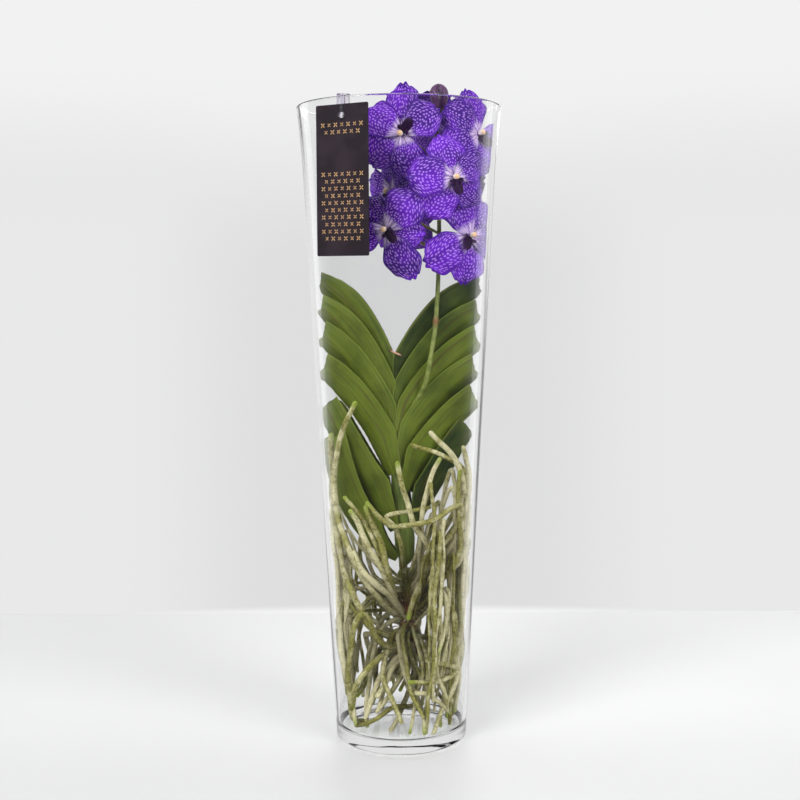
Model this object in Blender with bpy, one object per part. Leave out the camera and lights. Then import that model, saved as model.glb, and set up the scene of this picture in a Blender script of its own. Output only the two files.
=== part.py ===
"""Vanda orchid, a whole bare-root plant, standing in a tall conical glass vase.

The origin is the centre of the vase's flat underside. +Z is up, the front of the plant looks
towards -Y and +X is to its right. Sizes are in metres. Points chosen by hand are in millimetres
and are scaled by MM where they are used.
"""
import math
import random

import bmesh
import bpy
from mathutils import Matrix, Vector

MM = 0.001
GAP = 0.0003
WELD = 0.000002
TUBE_POINT = 0.5
UP = Vector((0.0, 0.0, 1.0))

# The vase: a cone that flares a little at the rim, with a thick floor
VASE_HEIGHT = 0.600
FOOT_RADIUS = 0.0625
RIM_RADIUS = 0.0950
FLARE_START = 0.530
FLARE = 0.0025
WALL = 0.0035
FLOOR = 0.014
FOOT_CORNER = 0.0045
FLOOR_CORNER = 0.006
VASE_SIDES = 38
BORE_FACET = 0.0003

# The card and the clear hook that carries it
CARD_WIDTH = 0.054
CARD_HEIGHT = 0.131
CARD_THICKNESS = 0.0008
CARD_TOP = 0.5925
CARD_CORNER = 0.0015
CARD_AZIMUTH = math.radians(-31.0)
HOLE_RADIUS = 0.0025
HOLE_DROP = 0.0095
HOOK_WIDTH = 0.008
HOOK_STRAP = 0.001
HOOK_STAND_OFF = 0.0015
HOOK_INNER_LEG = 0.012
HOOK_STEM_WIDTH = 0.003
HOOK_STEM_INSET = 0.00015
HOOK_BUTTON_RADIUS = 0.0032
HOOK_BUTTON_THICKNESS = 0.0014
HOOK_PIN_RADIUS = 0.0016
HOOK_PIN_REACH = 0.0020
HOOK_SIDES = 12
# Extra points on the card's edges, where its faces fan out round the hole
CARD_SIDE_POINT = 0.020
CARD_TOP_POINT = 0.0108
CARD_FOOT_POINT = 0.0135

# The stem leans a little: old and leafless below, a green shoot with the leaves above
STEM_FOOT_HEIGHT = 0.077
STEM_FOOT_X = 0.0125
STEM_TOP_X = -0.005
STEM_RADIUS = 0.0042
STEM_SWELL = (0.7, 1.0, 0.95, 1.05, 1.1)
STEM_SIDES = 7
SHOOT_START = 0.168
SHOOT_TOP = 0.316
SHOOT_HALF_WIDTH = 0.0098
SHOOT_HALF_DEPTH = 0.0056
SHOOT_PROFILE = ((0.0, 0.70), (0.15, 1.0), (0.45, 1.0), (0.75, 0.72), (1.0, 0.30))
SHOOT_SIDES = 10

# The leaves: folded straps in two ranks, each from its keel at the shoot to a notched tip
LEAF_THICKNESS = 0.0011
LEAF_FOLD_BASE = math.radians(24.0)
LEAF_FOLD_TIP = math.radians(27.0)
LEAF_FOLD_FOOT = math.radians(12.0)
LEAF_STATIONS = 8
LEAF_COLUMNS = (-1.0, -0.5, 0.0, 0.5, 1.0)
LEAF_NOTCH_MM = (1.0, -5.0, -9.0, -2.0, -6.0)
LEAF_HANDLE = 0.36
LEAF_SLOPE_STEP = 0.02
LEAF_KEEL_OFFSET = 0.0024
LEAF_SEAT = 0.15
LEAF_BASE_SHARE = 0.6
LEAF_FULL_FROM = 0.30
LEAF_TAPER_FROM = 0.70
LEAF_TAPER = 0.42
LEAF_LEAST_SHARE = 0.05
LEAF_LIMIT_ROUNDS = 5
STUB_RADII = (0.0008, 0.0010, 0.0012)
STUB_STATION = 3
STUB_OVERHANG = 0.006
STUB_SIDES = 6

# The flowers
STALK_RADIUS = 0.0024
STALK_TAPER = 0.35
STALK_STEP = 0.020
STALK_SIDES = 7
PEDICEL_RADIUS = 0.0013
PEDICEL_RUN = 0.016
PEDICEL_DROP = 0.014
PEDICEL_SIDES = 5
TEPAL_THICKNESS = 0.0009
TEPAL_ROWS = (0.05, 0.34, 0.70, 1.0)
TEPAL_HALF_WIDTHS = (0.13, 0.74, 1.0, 0.44)
TEPAL_COLUMNS = (-1.0, -0.38, 0.38, 1.0)
TEPAL_CORNER = 0.10
TEPAL_CUP = 0.004
TEPAL_DROOP = 0.006
TEPAL_WAVE = 0.0007
TEPAL_WAVE_TURNS = 1.3
TEPAL_MARGIN = 0.00135
# Sepals and petals: angle from the lip in degrees, lift of its layer, share of the bloom's size
TEPAL_LAYOUT = (
    (180.0, -0.0016, 0.96), (40.0, -0.0016, 0.98), (-40.0, 0.0, 0.98),
    (108.0, 0.0016, 1.0), (-108.0, 0.0016, 1.0),
)
HUB_RADIUS = 0.0034
HUB_HALF_DEPTH = 0.00272
COLUMN_RADIUS = 0.0026
COLUMN_LENGTH = 0.0075
COLUMN_OFFSET = 0.00078
LIP_LENGTH = 0.015
LIP_WIDTH = 0.009
LIP_DEPTH = 0.004
LIP_REACH = 0.00675
LIP_LEAN = math.radians(62.0)

# The roots
ROOT_SIDES = 5
ROOT_STEP = 0.022
ROOT_TAPER = 0.22

# The finishes: colour, roughness, metallic value and alpha
FINISHES = {
    "clear_glass": ((0.92, 0.94, 0.96), 0.02, 0.0, 0.25),
    "clear_plastic": ((0.86, 0.83, 0.90), 0.15, 0.0, 0.5),
    "charcoal_card": ((0.045, 0.036, 0.045), 0.55, 0.0, 1.0),
    "root_skin": ((0.50, 0.51, 0.29), 0.75, 0.0, 1.0),
    "leaf_green": ((0.075, 0.15, 0.03), 0.45, 0.0, 1.0),
    "stalk_green": ((0.17, 0.22, 0.06), 0.5, 0.0, 1.0),
    "dry_brown": ((0.16, 0.07, 0.04), 0.8, 0.0, 1.0),
    "violet_tepals": ((0.09, 0.016, 0.46), 0.55, 0.0, 1.0),
    "cream_column": ((0.82, 0.70, 0.54), 0.5, 0.0, 1.0),
    "bud_violet": ((0.09, 0.035, 0.10), 0.5, 0.0, 1.0),
}

# Leaf: rank (-1 left, 1 right), base height, tip x, tip height, lean at base, lean at tip in
# degrees from upright, half width, drift of the tip to the back; lengths in millimetres
LEAVES = (
    ("leaf_left_1", -1, 306, -79, 436, 17, 50, 29, 3),
    ("leaf_left_2", -1, 289, -79, 409, 19, 50, 29, -2),
    ("leaf_left_3", -1, 272, -77, 381, 20, 52, 28, 2),
    ("leaf_left_4", -1, 254, -76, 352, 20, 54, 28, -2),
    ("leaf_left_5", -1, 200, -76, 320, 21, 40, 28, 2),
    ("leaf_left_6", -1, 174, -71, 294, 26, 30, 26, -2),
    ("leaf_right_1", 1, 312, 79, 430, 15, 58, 29, -2),
    ("leaf_right_2", 1, 296, 79, 404, 17, 54, 29, 2),
    ("leaf_right_3", 1, 280, 78, 377, 18, 54, 28, -2),
    ("leaf_right_4", 1, 262, 76, 350, 18, 54, 28, 2),
    ("leaf_right_5", 1, 238, 76, 324, 20, 50, 27, -2),
    ("leaf_right_6", 1, 205, 73, 300, 25, 36, 26, 2),
)

# Bloom: centre of the face in millimetres, heading (degrees from the front to the right), pitch
# (degrees up), roll of the lip (degrees, anticlockwise from the right seen from in front), tepal
# length and widest width in millimetres
BLOOMS = (
    ("bloom_1", (3, -43, 571), -12, 4, 50, 45, 36),
    ("bloom_2", (48, -55, 531), 18, -2, 282, 36, 32),
    ("bloom_3", (72, -14, 573), 38, 6, 310, 40, 34),
    ("bloom_4", (-11, -49, 486), -20, -8, 315, 40, 35),
    ("bloom_5", (63, -31, 480), 26, 2, 235, 41, 34),
    ("bloom_6", (-6, -15, 522), -48, -6, 270, 36, 32),
    ("bloom_7", (34, 22, 585), 175, 12, 270, 36, 34),
    ("bloom_8", (60, 36, 528), 130, 0, 280, 38, 34),
    ("bloom_9", (2, 36, 500), 200, -4, 265, 38, 34),
)

STALK_ROUTE = (
    (-3, -5.9, 292), (1, -13, 306), (9, -19, 321), (20, -23, 340), (27, -23, 364), (33, -21, 398),
    (36, -17, 448), (37, -8, 500), (36, -4, 550), (35, -4, 588),
)

BUD_CENTRE = (37, -12, 606)
BUD_WIDTH = 0.017
BUD_DEPTH = 0.0136
BUD_LENGTH = 0.027
BUD_SWELL = 0.35

# Root routes: height of the start on the stem, thickness, then the points, in millimetres
ROOT_ROUTES = (
    (112, 6.0, ((-3, -12, 124), (-27, -34, 151), (-45, -44, 186), (-57, -34, 225), (-61, -30, 257),
                (-59, -33, 281), (-50, -40, 307), (-40, -42, 327))),
    (92, 6.2, ((-5, -10, 96), (-32, -36, 123), (-50, -38, 162), (-58, -31, 203), (-63, -24, 242),
               (-64, -24, 272), (-62, -25, 297))),
    (130, 5.2, ((-15, -22, 139), (-36, -40, 175), (-48, -42, 193), (-57, -33, 214), (-61, -28, 232))),
    (148, 4.8, ((-8, -24, 158), (-21, -40, 190), (-33, -46, 218), (-43, -46, 231), (-51, -43, 241))),
    (122, 6.6, ((-4, -18, 134), (-14, -34, 161), (-26, -44, 191), (-37, -47, 214), (-45, -47, 229))),
    (116, 7.0, ((-1, -14, 131), (-8, -30, 155), (-16, -42, 186), (-25, -48, 215), (-30, -50, 231))),
    (149, 5.4, ((21, -18, 168), (46, -36, 205), (55, -38, 229), (46, -46, 231), (29, -52, 222),
                (9, -54, 215), (-8, -54, 216), (-19, -53, 225), (-30, -52, 236))),
    (145, 4.6, ((3, -22, 168), (-4, -44, 209), (-13, -48, 222), (4, -47, 229), (27, -44, 231))),
    (140, 6.0, ((22, -18, 157), (25, -34, 189), (15, -46, 212), (7, -50, 237), (1, -50, 255),
                (-4, -48, 272))),
    (150, 6.4, ((26, -14, 168), (50, -30, 198), (58, -30, 231), (56, -34, 257), (46, -40, 279),
                (28, -44, 301))),
    (147, 5.0, ((19, -14, 166), (52, -30, 213), (59, -28, 246), (55, -34, 268), (41, -42, 277),
                (26, -45, 285), (12, -46, 291))),
    (142, 5.2, ((17, -14, 161), (19, -34, 194), (19, -44, 224), (22, -46, 243), (28, -46, 260),
                (37, -46, 277))),
    (128, 5.6, ((28, -14, 146), (53, -30, 179), (62, -25, 215), (64, -24, 253), (62, -25, 270),
                (58, -27, 283))),
    (120, 5.0, ((22, -12, 136), (44, -34, 166), (53, -36, 194), (52, -40, 233), (56, -36, 265))),
    (106, 6.8, ((1, -10, 124), (-9, -26, 143), (-18, -34, 152), (-32, -42, 170), (-44, -45, 189))),
    (84, 6.0, ((3, -8, 86), (-20, -30, 102), (-36, -42, 132), (-45, -40, 107), (-49, -34, 64),
               (-46, -26, 28), (-36, -12, 18))),
    (98, 6.4, ((9, -3, 101), (-10, -20, 92), (-29, -32, 76), (-42, -34, 57), (-47, -30, 38))),
    (90, 6.2, ((10, -3, 91), (-8, -22, 78), (-27, -36, 54), (-33, -38, 32))),
    (86, 6.4, ((10, -4, 84), (-6, -26, 74), (-23, -42, 54))),
    (83, 5.0, ((12, -5, 82), (3, -20, 70), (-10, -34, 53), (-23, -42, 39))),
    (80, 5.6, ((13, -6, 76), (7, -16, 49), (-2, -30, 29), (-9, -36, 18))),
    (81, 5.4, ((14, -8, 79), (18, -20, 82), (37, -36, 82), (51, -27, 70), (33, -42, 67),
               (9, -47, 66))),
    (93, 4.8, ((11, -4, 88), (5, -20, 56), (13, -40, 54), (22, -46, 56), (36, -40, 45),
               (45, -30, 32))),
    (79, 5.0, ((13, -2, 70), (13, -16, 37), (-6, -34, 38), (-25, -42, 30), (-43, -24, 18))),
    (125, 5.2, ((22, -8, 133), (34, -30, 121), (31, -40, 95), (38, -40, 56), (41, -34, 36))),
    (138, 5.4, ((26, -10, 145), (48, -34, 132), (50, -28, 102), (46, -26, 62), (47, -14, 18))),
    (144, 5.0, ((19, -10, 156), (38, -36, 152), (43, -38, 124), (34, -46, 97))),
    (146, 6.0, ((22, -12, 158), (16, -30, 150), (7, -38, 125))),
    (148, 5.8, ((28, -8, 164), (56, -14, 182), (60, -10, 145), (57, -4, 95), (53, -2, 45),
                (50, 4, 18))),
    (148, 5.4, ((28, -10, 156), (52, -24, 176), (56, -26, 140), (52, -26, 100), (45, -30, 66))),
    (150, 5.0, ((27, -6, 166), (58, 0, 196), (64, 2, 160), (60, 4, 105), (56, 8, 60), (44, 14, 18))),
)

# The roots that fill the vase's back and sides, in millimetres and degrees: each starts on the
# stem, goes out to the glass with a rise of its own, and comes down along it to the floor
FILLER_SEED = 11
FILLER_ROOTS = 8
FILLER_FIRST_AZIMUTH = 105.0
FILLER_AZIMUTH_RANGE = 150.0
FILLER_AZIMUTH_WANDER = 8.0
FILLER_LOWEST_START = 96.0
FILLER_START_STEP = 10.0
FILLER_START_STRIDE = 4
FILLER_RISING = (20.0, 95.0)
FILLER_FALLING = (-20.0, 6.0)
FILLER_TURN = (12.0, 34.0)
FILLER_THICKNESS = (4.6, 6.2)
FILLER_GLASS_MARGIN = 3.5
FILLER_FOOT = 18.0
FILLER_FOOT_STEP = 5.0
# Shares of the bore, the turn, the start's height and the rise at each point after the start
FILLER_POINTS = (
    (0.40, 0.0, 1.0, 0.0), (0.80, 0.4, 1.0, 0.5), (0.97, 0.8, 1.0, 1.0), (0.97, 1.5, 0.55, 0.3),
)
FILLER_FOOT_POINT = (0.94, 2.2)


def material(name, color, roughness, metallic, alpha):
    """Plain Principled material."""
    made = bpy.data.materials.new(name)
    made.use_nodes = True
    shader = made.node_tree.nodes["Principled BSDF"]
    shader.inputs["Base Color"].default_value = (*color, 1.0)
    shader.inputs["Roughness"].default_value = roughness
    shader.inputs["Metallic"].default_value = metallic
    shader.inputs["Alpha"].default_value = alpha
    return made


def solid(name, bm, finish, sharp_angle=40.0):
    """Turn a closed bmesh into a named, outward-facing, triangulated object."""
    bmesh.ops.triangulate(bm, faces=bm.faces[:])
    bmesh.ops.recalc_face_normals(bm, faces=bm.faces[:])
    mesh = bpy.data.meshes.new(name)
    bm.to_mesh(mesh)
    bm.free()
    mesh.shade_smooth()
    mesh.set_sharp_from_angle(angle=math.radians(sharp_angle))
    mesh.materials.append(finish)
    made = bpy.data.objects.new(name, mesh)
    bpy.context.scene.collection.objects.link(made)
    return made


def fuse(name, pieces, solver="EXACT"):
    """Join closed pieces that run into each other into one body, by one Boolean union."""
    body = pieces[0]
    body.name = name
    group = bpy.data.collections.new(name + "_pieces")
    bpy.context.scene.collection.children.link(group)
    for piece in pieces[1:]:
        bpy.context.scene.collection.objects.unlink(piece)
        group.objects.link(piece)
    joined = body.modifiers.new("join", "BOOLEAN")
    joined.operation = "UNION"
    joined.solver = solver
    joined.operand_type = "COLLECTION"
    joined.collection = group
    bpy.context.view_layer.update()
    graph = bpy.context.evaluated_depsgraph_get()
    mesh = bpy.data.meshes.new_from_object(body.evaluated_get(graph))
    bm = bmesh.new()
    bm.from_mesh(mesh)
    bmesh.ops.remove_doubles(bm, verts=bm.verts[:], dist=WELD)
    bmesh.ops.dissolve_degenerate(bm, edges=bm.edges[:], dist=WELD)
    bmesh.ops.triangulate(bm, faces=bm.faces[:])
    bm.to_mesh(mesh)
    bm.free()
    body.modifiers.remove(joined)
    body.data = mesh
    for piece in pieces[1:]:
        bpy.data.objects.remove(piece)
    bpy.data.collections.remove(group)
    return body


def ring_faces(bm, lower, upper):
    """Quads between two closed rings of vertices of the same length."""
    count = len(lower)
    for index in range(count):
        after = (index + 1) % count
        bm.faces.new((lower[index], lower[after], upper[after], upper[index]))


def fan_faces(bm, ring, centre):
    """Triangles that close a ring of vertices to one centre vertex."""
    count = len(ring)
    for index in range(count):
        bm.faces.new((ring[index], ring[(index + 1) % count], centre))


def turned(profile, sides):
    """Closed turned shape from (radius, height) points that start and end on the axis."""
    bm = bmesh.new()
    rings = []
    for radius, height in profile[1:-1]:
        ring = []
        for index in range(sides):
            angle = 2.0 * math.pi * index / sides
            ring.append(bm.verts.new((radius * math.cos(angle), radius * math.sin(angle), height)))
        rings.append(ring)
    for lower, upper in zip(rings, rings[1:]):
        ring_faces(bm, lower, upper)
    fan_faces(bm, rings[0], bm.verts.new((0.0, 0.0, profile[0][1])))
    fan_faces(bm, rings[-1], bm.verts.new((0.0, 0.0, profile[-1][1])))
    return bm


def smooth_path(points, step):
    """Catmull-Rom curve through the points, as stations about one step apart."""
    padded = [points[0] * 2.0 - points[1]] + points + [points[-1] * 2.0 - points[-2]]
    path = [points[0]]
    for before, start, end, after in zip(padded, padded[1:], padded[2:], padded[3:]):
        pieces = max(1, round((end - start).length / step))
        for index in range(1, pieces + 1):
            t = index / pieces
            path.append(0.5 * (
                2.0 * start + (end - before) * t
                + (2.0 * before - 5.0 * start + 4.0 * end - after) * t ** 2
                + (3.0 * start - before - 3.0 * end + after) * t ** 3))
    return path


def tube(path, radii, sides, squash=1.0):
    """Closed tube along a path, its section kept from twisting, with low pointed ends."""
    bm = bmesh.new()
    rings = []
    across = None
    for index, point in enumerate(path):
        ahead = path[min(index + 1, len(path) - 1)] - path[max(index - 1, 0)]
        ahead.normalize()
        if across is None:
            across = ahead.cross(Vector((0.0, 1.0, 0.0)) if abs(ahead.y) < 0.9 else UP)
        across = (across - ahead * across.dot(ahead)).normalized()
        other = ahead.cross(across)
        ring = []
        for side in range(sides):
            angle = 2.0 * math.pi * side / sides
            offset = across * math.cos(angle) + other * (math.sin(angle) * squash)
            ring.append(bm.verts.new(point + offset * radii[index]))
        rings.append(ring)
    for lower, upper in zip(rings, rings[1:]):
        ring_faces(bm, lower, upper)
    start = (path[0] - path[1]).normalized() * radii[0] * TUBE_POINT
    end = (path[-1] - path[-2]).normalized() * radii[-1] * TUBE_POINT
    fan_faces(bm, rings[0], bm.verts.new(path[0] + start))
    fan_faces(bm, rings[-1], bm.verts.new(path[-1] + end))
    return bm


def blade(grid, thickness):
    """Closed thin blade round a grid of middle points, with like triangles on both faces."""
    rows = len(grid)
    columns = len(grid[0])
    bm = bmesh.new()
    front = []
    back = []
    for i in range(rows):
        front.append([])
        back.append([])
        for j in range(columns):
            along = grid[min(i + 1, rows - 1)][j] - grid[max(i - 1, 0)][j]
            across = grid[i][min(j + 1, columns - 1)] - grid[i][max(j - 1, 0)]
            lift = along.cross(across).normalized() * thickness / 2.0
            front[i].append(bm.verts.new(grid[i][j] + lift))
            back[i].append(bm.verts.new(grid[i][j] - lift))
    for i in range(rows - 1):
        for j in range(columns - 1):
            for side in (front, back):
                a, b = side[i][j], side[i][j + 1]
                c, d = side[i + 1][j + 1], side[i + 1][j]
                bm.faces.new((a, b, c))
                bm.faces.new((a, c, d))
    border = [(0, j) for j in range(columns)]
    border += [(i, columns - 1) for i in range(1, rows)]
    border += [(rows - 1, j) for j in range(columns - 2, -1, -1)]
    border += [(i, 0) for i in range(rows - 2, 0, -1)]
    for (i, j), (k, m) in zip(border, border[1:] + border[:1]):
        bm.faces.new((front[i][j], front[k][m], back[k][m]))
        bm.faces.new((front[i][j], back[k][m], back[i][j]))
    return bm


def ball(width, depth, length, sides, rings):
    """Closed rounded body about the origin, long along Z."""
    profile = []
    for index in range(rings + 1):
        angle = math.pi * index / rings
        profile.append((math.sin(angle), -math.cos(angle)))
    bm = turned(profile, sides)
    bmesh.ops.scale(bm, vec=(width / 2.0, depth / 2.0, length / 2.0), verts=bm.verts[:])
    return bm


def outer_radius(height):
    """Outer radius of the glass at a height."""
    cone = FOOT_RADIUS + (RIM_RADIUS - FLARE - FOOT_RADIUS) * height / VASE_HEIGHT
    flare = max(0.0, height - FLARE_START) / (VASE_HEIGHT - FLARE_START)
    return cone + FLARE * flare ** 2


def bore_radius(height):
    """Inner radius of the glass at a height."""
    return outer_radius(height) - WALL


def inside_vase(point, margin):
    """The same point, or the nearest one on its level that keeps the margin to the glass."""
    limit = bore_radius(min(point.z, VASE_HEIGHT)) - GAP - BORE_FACET - margin
    reach = math.hypot(point.x, point.y)
    if reach <= limit:
        return point
    return Vector((point.x * limit / reach, point.y * limit / reach, point.z))


def stem_axis(height):
    """Centre of the stem and shoot at a height."""
    share = (height - STEM_FOOT_HEIGHT) / (SHOOT_TOP - STEM_FOOT_HEIGHT)
    return Vector((STEM_FOOT_X + (STEM_TOP_X - STEM_FOOT_X) * share, 0.0, height))


def build_vase(finish):
    """The glass as one turned body."""
    profile = [(0.0, 0.0)]
    for degrees in (-90.0, -60.0, -30.0, 0.0):
        angle = math.radians(degrees)
        centre = outer_radius(FOOT_CORNER) - FOOT_CORNER
        profile.append((centre + FOOT_CORNER * math.cos(angle),
                        FOOT_CORNER + FOOT_CORNER * math.sin(angle)))
    flare_heights = [FLARE_START + (VASE_HEIGHT - FLARE_START) * share for share in (0.0, 0.4, 0.7)]
    profile += [(outer_radius(height), height) for height in flare_heights]
    lip = WALL / 2.0
    middle = RIM_RADIUS - lip
    for degrees in (0.0, 45.0, 90.0, 135.0, 180.0):
        angle = math.radians(degrees)
        profile.append((middle + lip * math.cos(angle), VASE_HEIGHT - lip + lip * math.sin(angle)))
    profile += [(bore_radius(height), height) for height in reversed(flare_heights)]
    for degrees in (0.0, -30.0, -60.0, -90.0):
        angle = math.radians(degrees)
        centre = bore_radius(FLOOR + FLOOR_CORNER) - FLOOR_CORNER
        profile.append((centre + FLOOR_CORNER * math.cos(angle),
                        FLOOR + FLOOR_CORNER + FLOOR_CORNER * math.sin(angle)))
    profile.append((0.0, FLOOR))
    return solid("vase", turned(profile, VASE_SIDES), finish)


def card_frame():
    """Outward direction at the card and the direction along its width."""
    outward = Vector((math.sin(CARD_AZIMUTH), -math.cos(CARD_AZIMUTH), 0.0))
    sideways = Vector((-outward.y, outward.x, 0.0))
    return outward, sideways


def card_point(drop):
    """Middle of the card's thickness on its centre line, a distance below its top edge."""
    outward, _ = card_frame()
    return outward * (RIM_RADIUS + GAP + CARD_THICKNESS / 2.0) + UP * (CARD_TOP - drop)


def build_card(finish):
    """The charcoal card, flat and plumb against the rim, with a round hole."""
    outward, sideways = card_frame()
    hole = card_point(HOLE_DROP)
    half = CARD_WIDTH / 2.0
    above = HOLE_DROP
    below = CARD_HEIGHT - HOLE_DROP
    edge = [(half, -below), (half, -CARD_SIDE_POINT), (half, 0.0), (half, above - CARD_CORNER),
            (half - CARD_CORNER, above), (CARD_TOP_POINT, above), (0.0, above),
            (-CARD_TOP_POINT, above), (CARD_CORNER - half, above), (-half, above - CARD_CORNER),
            (-half, 0.0), (-half, -CARD_SIDE_POINT), (-half, -below), (-CARD_FOOT_POINT, -below),
            (0.0, -below), (CARD_FOOT_POINT, -below)]
    bm = bmesh.new()
    layers = []
    for side in (1.0, -1.0):
        shift = outward * (side * CARD_THICKNESS / 2.0)
        outer = [bm.verts.new(hole + sideways * x + UP * y + shift) for x, y in edge]
        inner = []
        for x, y in edge:
            reach = math.hypot(x, y)
            inner.append(bm.verts.new(hole + sideways * (x / reach * HOLE_RADIUS)
                                      + UP * (y / reach * HOLE_RADIUS) + shift))
        layers.append((outer, inner))
        ring_faces(bm, outer, inner)
    ring_faces(bm, layers[0][0], layers[1][0])
    ring_faces(bm, layers[0][1], layers[1][1])
    return solid("hanging_card", bm, finish)


def extruded(outline, frame, half_width):
    """Closed bar with an outline in the frame's X and Z, as wide as asked along its Y."""
    bm = bmesh.new()
    near = [bm.verts.new(frame @ Vector((x, -half_width, z))) for x, z in outline]
    far = [bm.verts.new(frame @ Vector((x, half_width, z))) for x, z in outline]
    bm.faces.new(near)
    bm.faces.new(list(reversed(far)))
    ring_faces(bm, near, far)
    return bm


def build_hook(finish):
    """Clear hook over the rim, with a pin through the card's hole and a button on it."""
    outward, sideways = card_frame()
    frame = Matrix((outward, sideways, UP)).transposed().to_4x4()
    roof = VASE_HEIGHT + GAP
    leg_foot = roof - HOOK_INNER_LEG
    inner = bore_radius(leg_foot) - GAP - BORE_FACET - HOOK_STRAP
    outer = RIM_RADIUS + HOOK_STAND_OFF
    leg_end = CARD_TOP - HOOK_STRAP
    strap = ((inner, leg_foot), (inner, roof + HOOK_STRAP), (outer + HOOK_STRAP, roof + HOOK_STRAP),
             (outer + HOOK_STRAP, leg_end), (outer, leg_end), (outer, roof),
             (inner + HOOK_STRAP, roof), (inner + HOOK_STRAP, leg_foot))
    hole_height = card_point(HOLE_DROP).z
    near = outer + HOOK_STEM_INSET
    far = outer + HOOK_STRAP - HOOK_STEM_INSET
    stem = ((near, hole_height), (near, leg_end + HOOK_STRAP), (far, leg_end + HOOK_STRAP),
            (far, hole_height))
    pieces = [solid("hook_strap", extruded(strap, frame, HOOK_WIDTH / 2.0), finish),
              solid("hook_stem", extruded(stem, frame, HOOK_STEM_WIDTH / 2.0), finish)]
    turn = Matrix.Rotation(math.radians(90.0), 4, "Y")
    pin_end = outer + HOOK_STRAP / 2.0
    for name, radius, start, end in (
            ("hook_button", HOOK_BUTTON_RADIUS, outer, outer + HOOK_BUTTON_THICKNESS),
            ("hook_pin", HOOK_PIN_RADIUS, pin_end - HOOK_PIN_REACH, pin_end)):
        bm = turned([(0.0, start), (radius, start), (radius, end), (0.0, end)], HOOK_SIDES)
        place = frame @ Matrix.Translation((0.0, 0.0, hole_height)) @ turn
        bmesh.ops.transform(bm, matrix=place, verts=bm.verts[:])
        pieces.append(solid(name, bm, finish))
    return fuse("card_hook", pieces, "MANIFOLD")


def root_tube(name, start_height, thickness, points, finish):
    """One root from the stem along its points, a little thinner towards its end."""
    radius = thickness * MM / 2.0
    route = [stem_axis(start_height * MM)]
    for x, y, z in points:
        route.append(inside_vase(Vector((x, y, z)) * MM, radius))
    path = smooth_path(route, ROOT_STEP)
    last = len(path) - 1
    radii = []
    for index, point in enumerate(path):
        path[index] = inside_vase(point, radius)
        path[index].z = max(path[index].z, FLOOR + GAP + radius)
        radii.append(radius * (1.0 - ROOT_TAPER * (index / last) ** 2))
    return solid(name, tube(path, radii, ROOT_SIDES), finish, 60.0)


def filler_route(draw, index):
    """Start height, thickness and points of one of the roots that fill the back and sides."""
    azimuth = FILLER_FIRST_AZIMUTH + FILLER_AZIMUTH_RANGE * index / (FILLER_ROOTS - 1)
    azimuth += draw.uniform(-FILLER_AZIMUTH_WANDER, FILLER_AZIMUTH_WANDER)
    start = FILLER_LOWEST_START + FILLER_START_STEP * (index * FILLER_START_STRIDE % FILLER_ROOTS)
    rise = draw.uniform(*(FILLER_RISING if index % 2 else FILLER_FALLING))
    turn = draw.uniform(*FILLER_TURN) * (1.0 if index % 3 else -1.0)
    thickness = draw.uniform(*FILLER_THICKNESS)
    stations = []
    for share, turned_by, of_start, of_rise in FILLER_POINTS:
        stations.append((share, azimuth + turned_by * turn, of_start * start + of_rise * rise))
    share, turned_by = FILLER_FOOT_POINT
    stations.append((share, azimuth + turned_by * turn, FILLER_FOOT + FILLER_FOOT_STEP * (index % 3)))
    points = []
    for share, degrees, height in stations:
        reach = share * (bore_radius(height * MM) / MM - FILLER_GLASS_MARGIN)
        angle = math.radians(degrees)
        points.append((reach * math.sin(angle), -reach * math.cos(angle), height))
    return start, thickness, points


def build_stem_and_roots(finish):
    """The old leafless stem and every aerial root, grown together as one body."""
    radii = [STEM_RADIUS * share for share in STEM_SWELL]
    rise = (SHOOT_START - STEM_FOOT_HEIGHT) / (len(radii) - 1)
    heights = [STEM_FOOT_HEIGHT + rise * step for step in range(len(radii))]
    heights[-1] -= GAP + (radii[-1] + shoot_half_width(SHOOT_START)) * TUBE_POINT
    path = [stem_axis(height) for height in heights]
    pieces = [solid("old_stem", tube(path, radii, STEM_SIDES), finish)]
    for index, (start, thickness, points) in enumerate(ROOT_ROUTES):
        pieces.append(root_tube("root_%d" % index, start, thickness, points, finish))
    draw = random.Random(FILLER_SEED)
    for index in range(FILLER_ROOTS):
        start, thickness, points = filler_route(draw, index)
        pieces.append(root_tube("filler_root_%d" % index, start, thickness, points, finish))
    return fuse("stem_and_roots", pieces, "MANIFOLD")


def shoot_half_width(height):
    """Half width of the shoot at a height, from its profile."""
    share = (height - SHOOT_START) / (SHOOT_TOP - SHOOT_START)
    share = min(max(share, 0.0), 1.0)
    for (low, narrow), (high, wide) in zip(SHOOT_PROFILE, SHOOT_PROFILE[1:]):
        if share <= high:
            part = (share - low) / (high - low)
            return SHOOT_HALF_WIDTH * (narrow + (wide - narrow) * part)
    return SHOOT_HALF_WIDTH * SHOOT_PROFILE[-1][1]


def build_shoot(finish):
    """The green shoot that the leaf bases clasp."""
    path = [stem_axis(SHOOT_START + (SHOOT_TOP - SHOOT_START) * share) for share, _ in SHOOT_PROFILE]
    radii = [SHOOT_HALF_WIDTH * width for _, width in SHOOT_PROFILE]
    flatness = SHOOT_HALF_DEPTH / SHOOT_HALF_WIDTH
    return solid("leafy_shoot", tube(path, radii, SHOOT_SIDES, flatness), finish)


def bezier(a, b, c, d, t):
    """Point on a cubic Bezier curve."""
    s = 1.0 - t
    return a * s ** 3 + b * (3.0 * s * s * t) + c * (3.0 * s * t * t) + d * t ** 3


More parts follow.
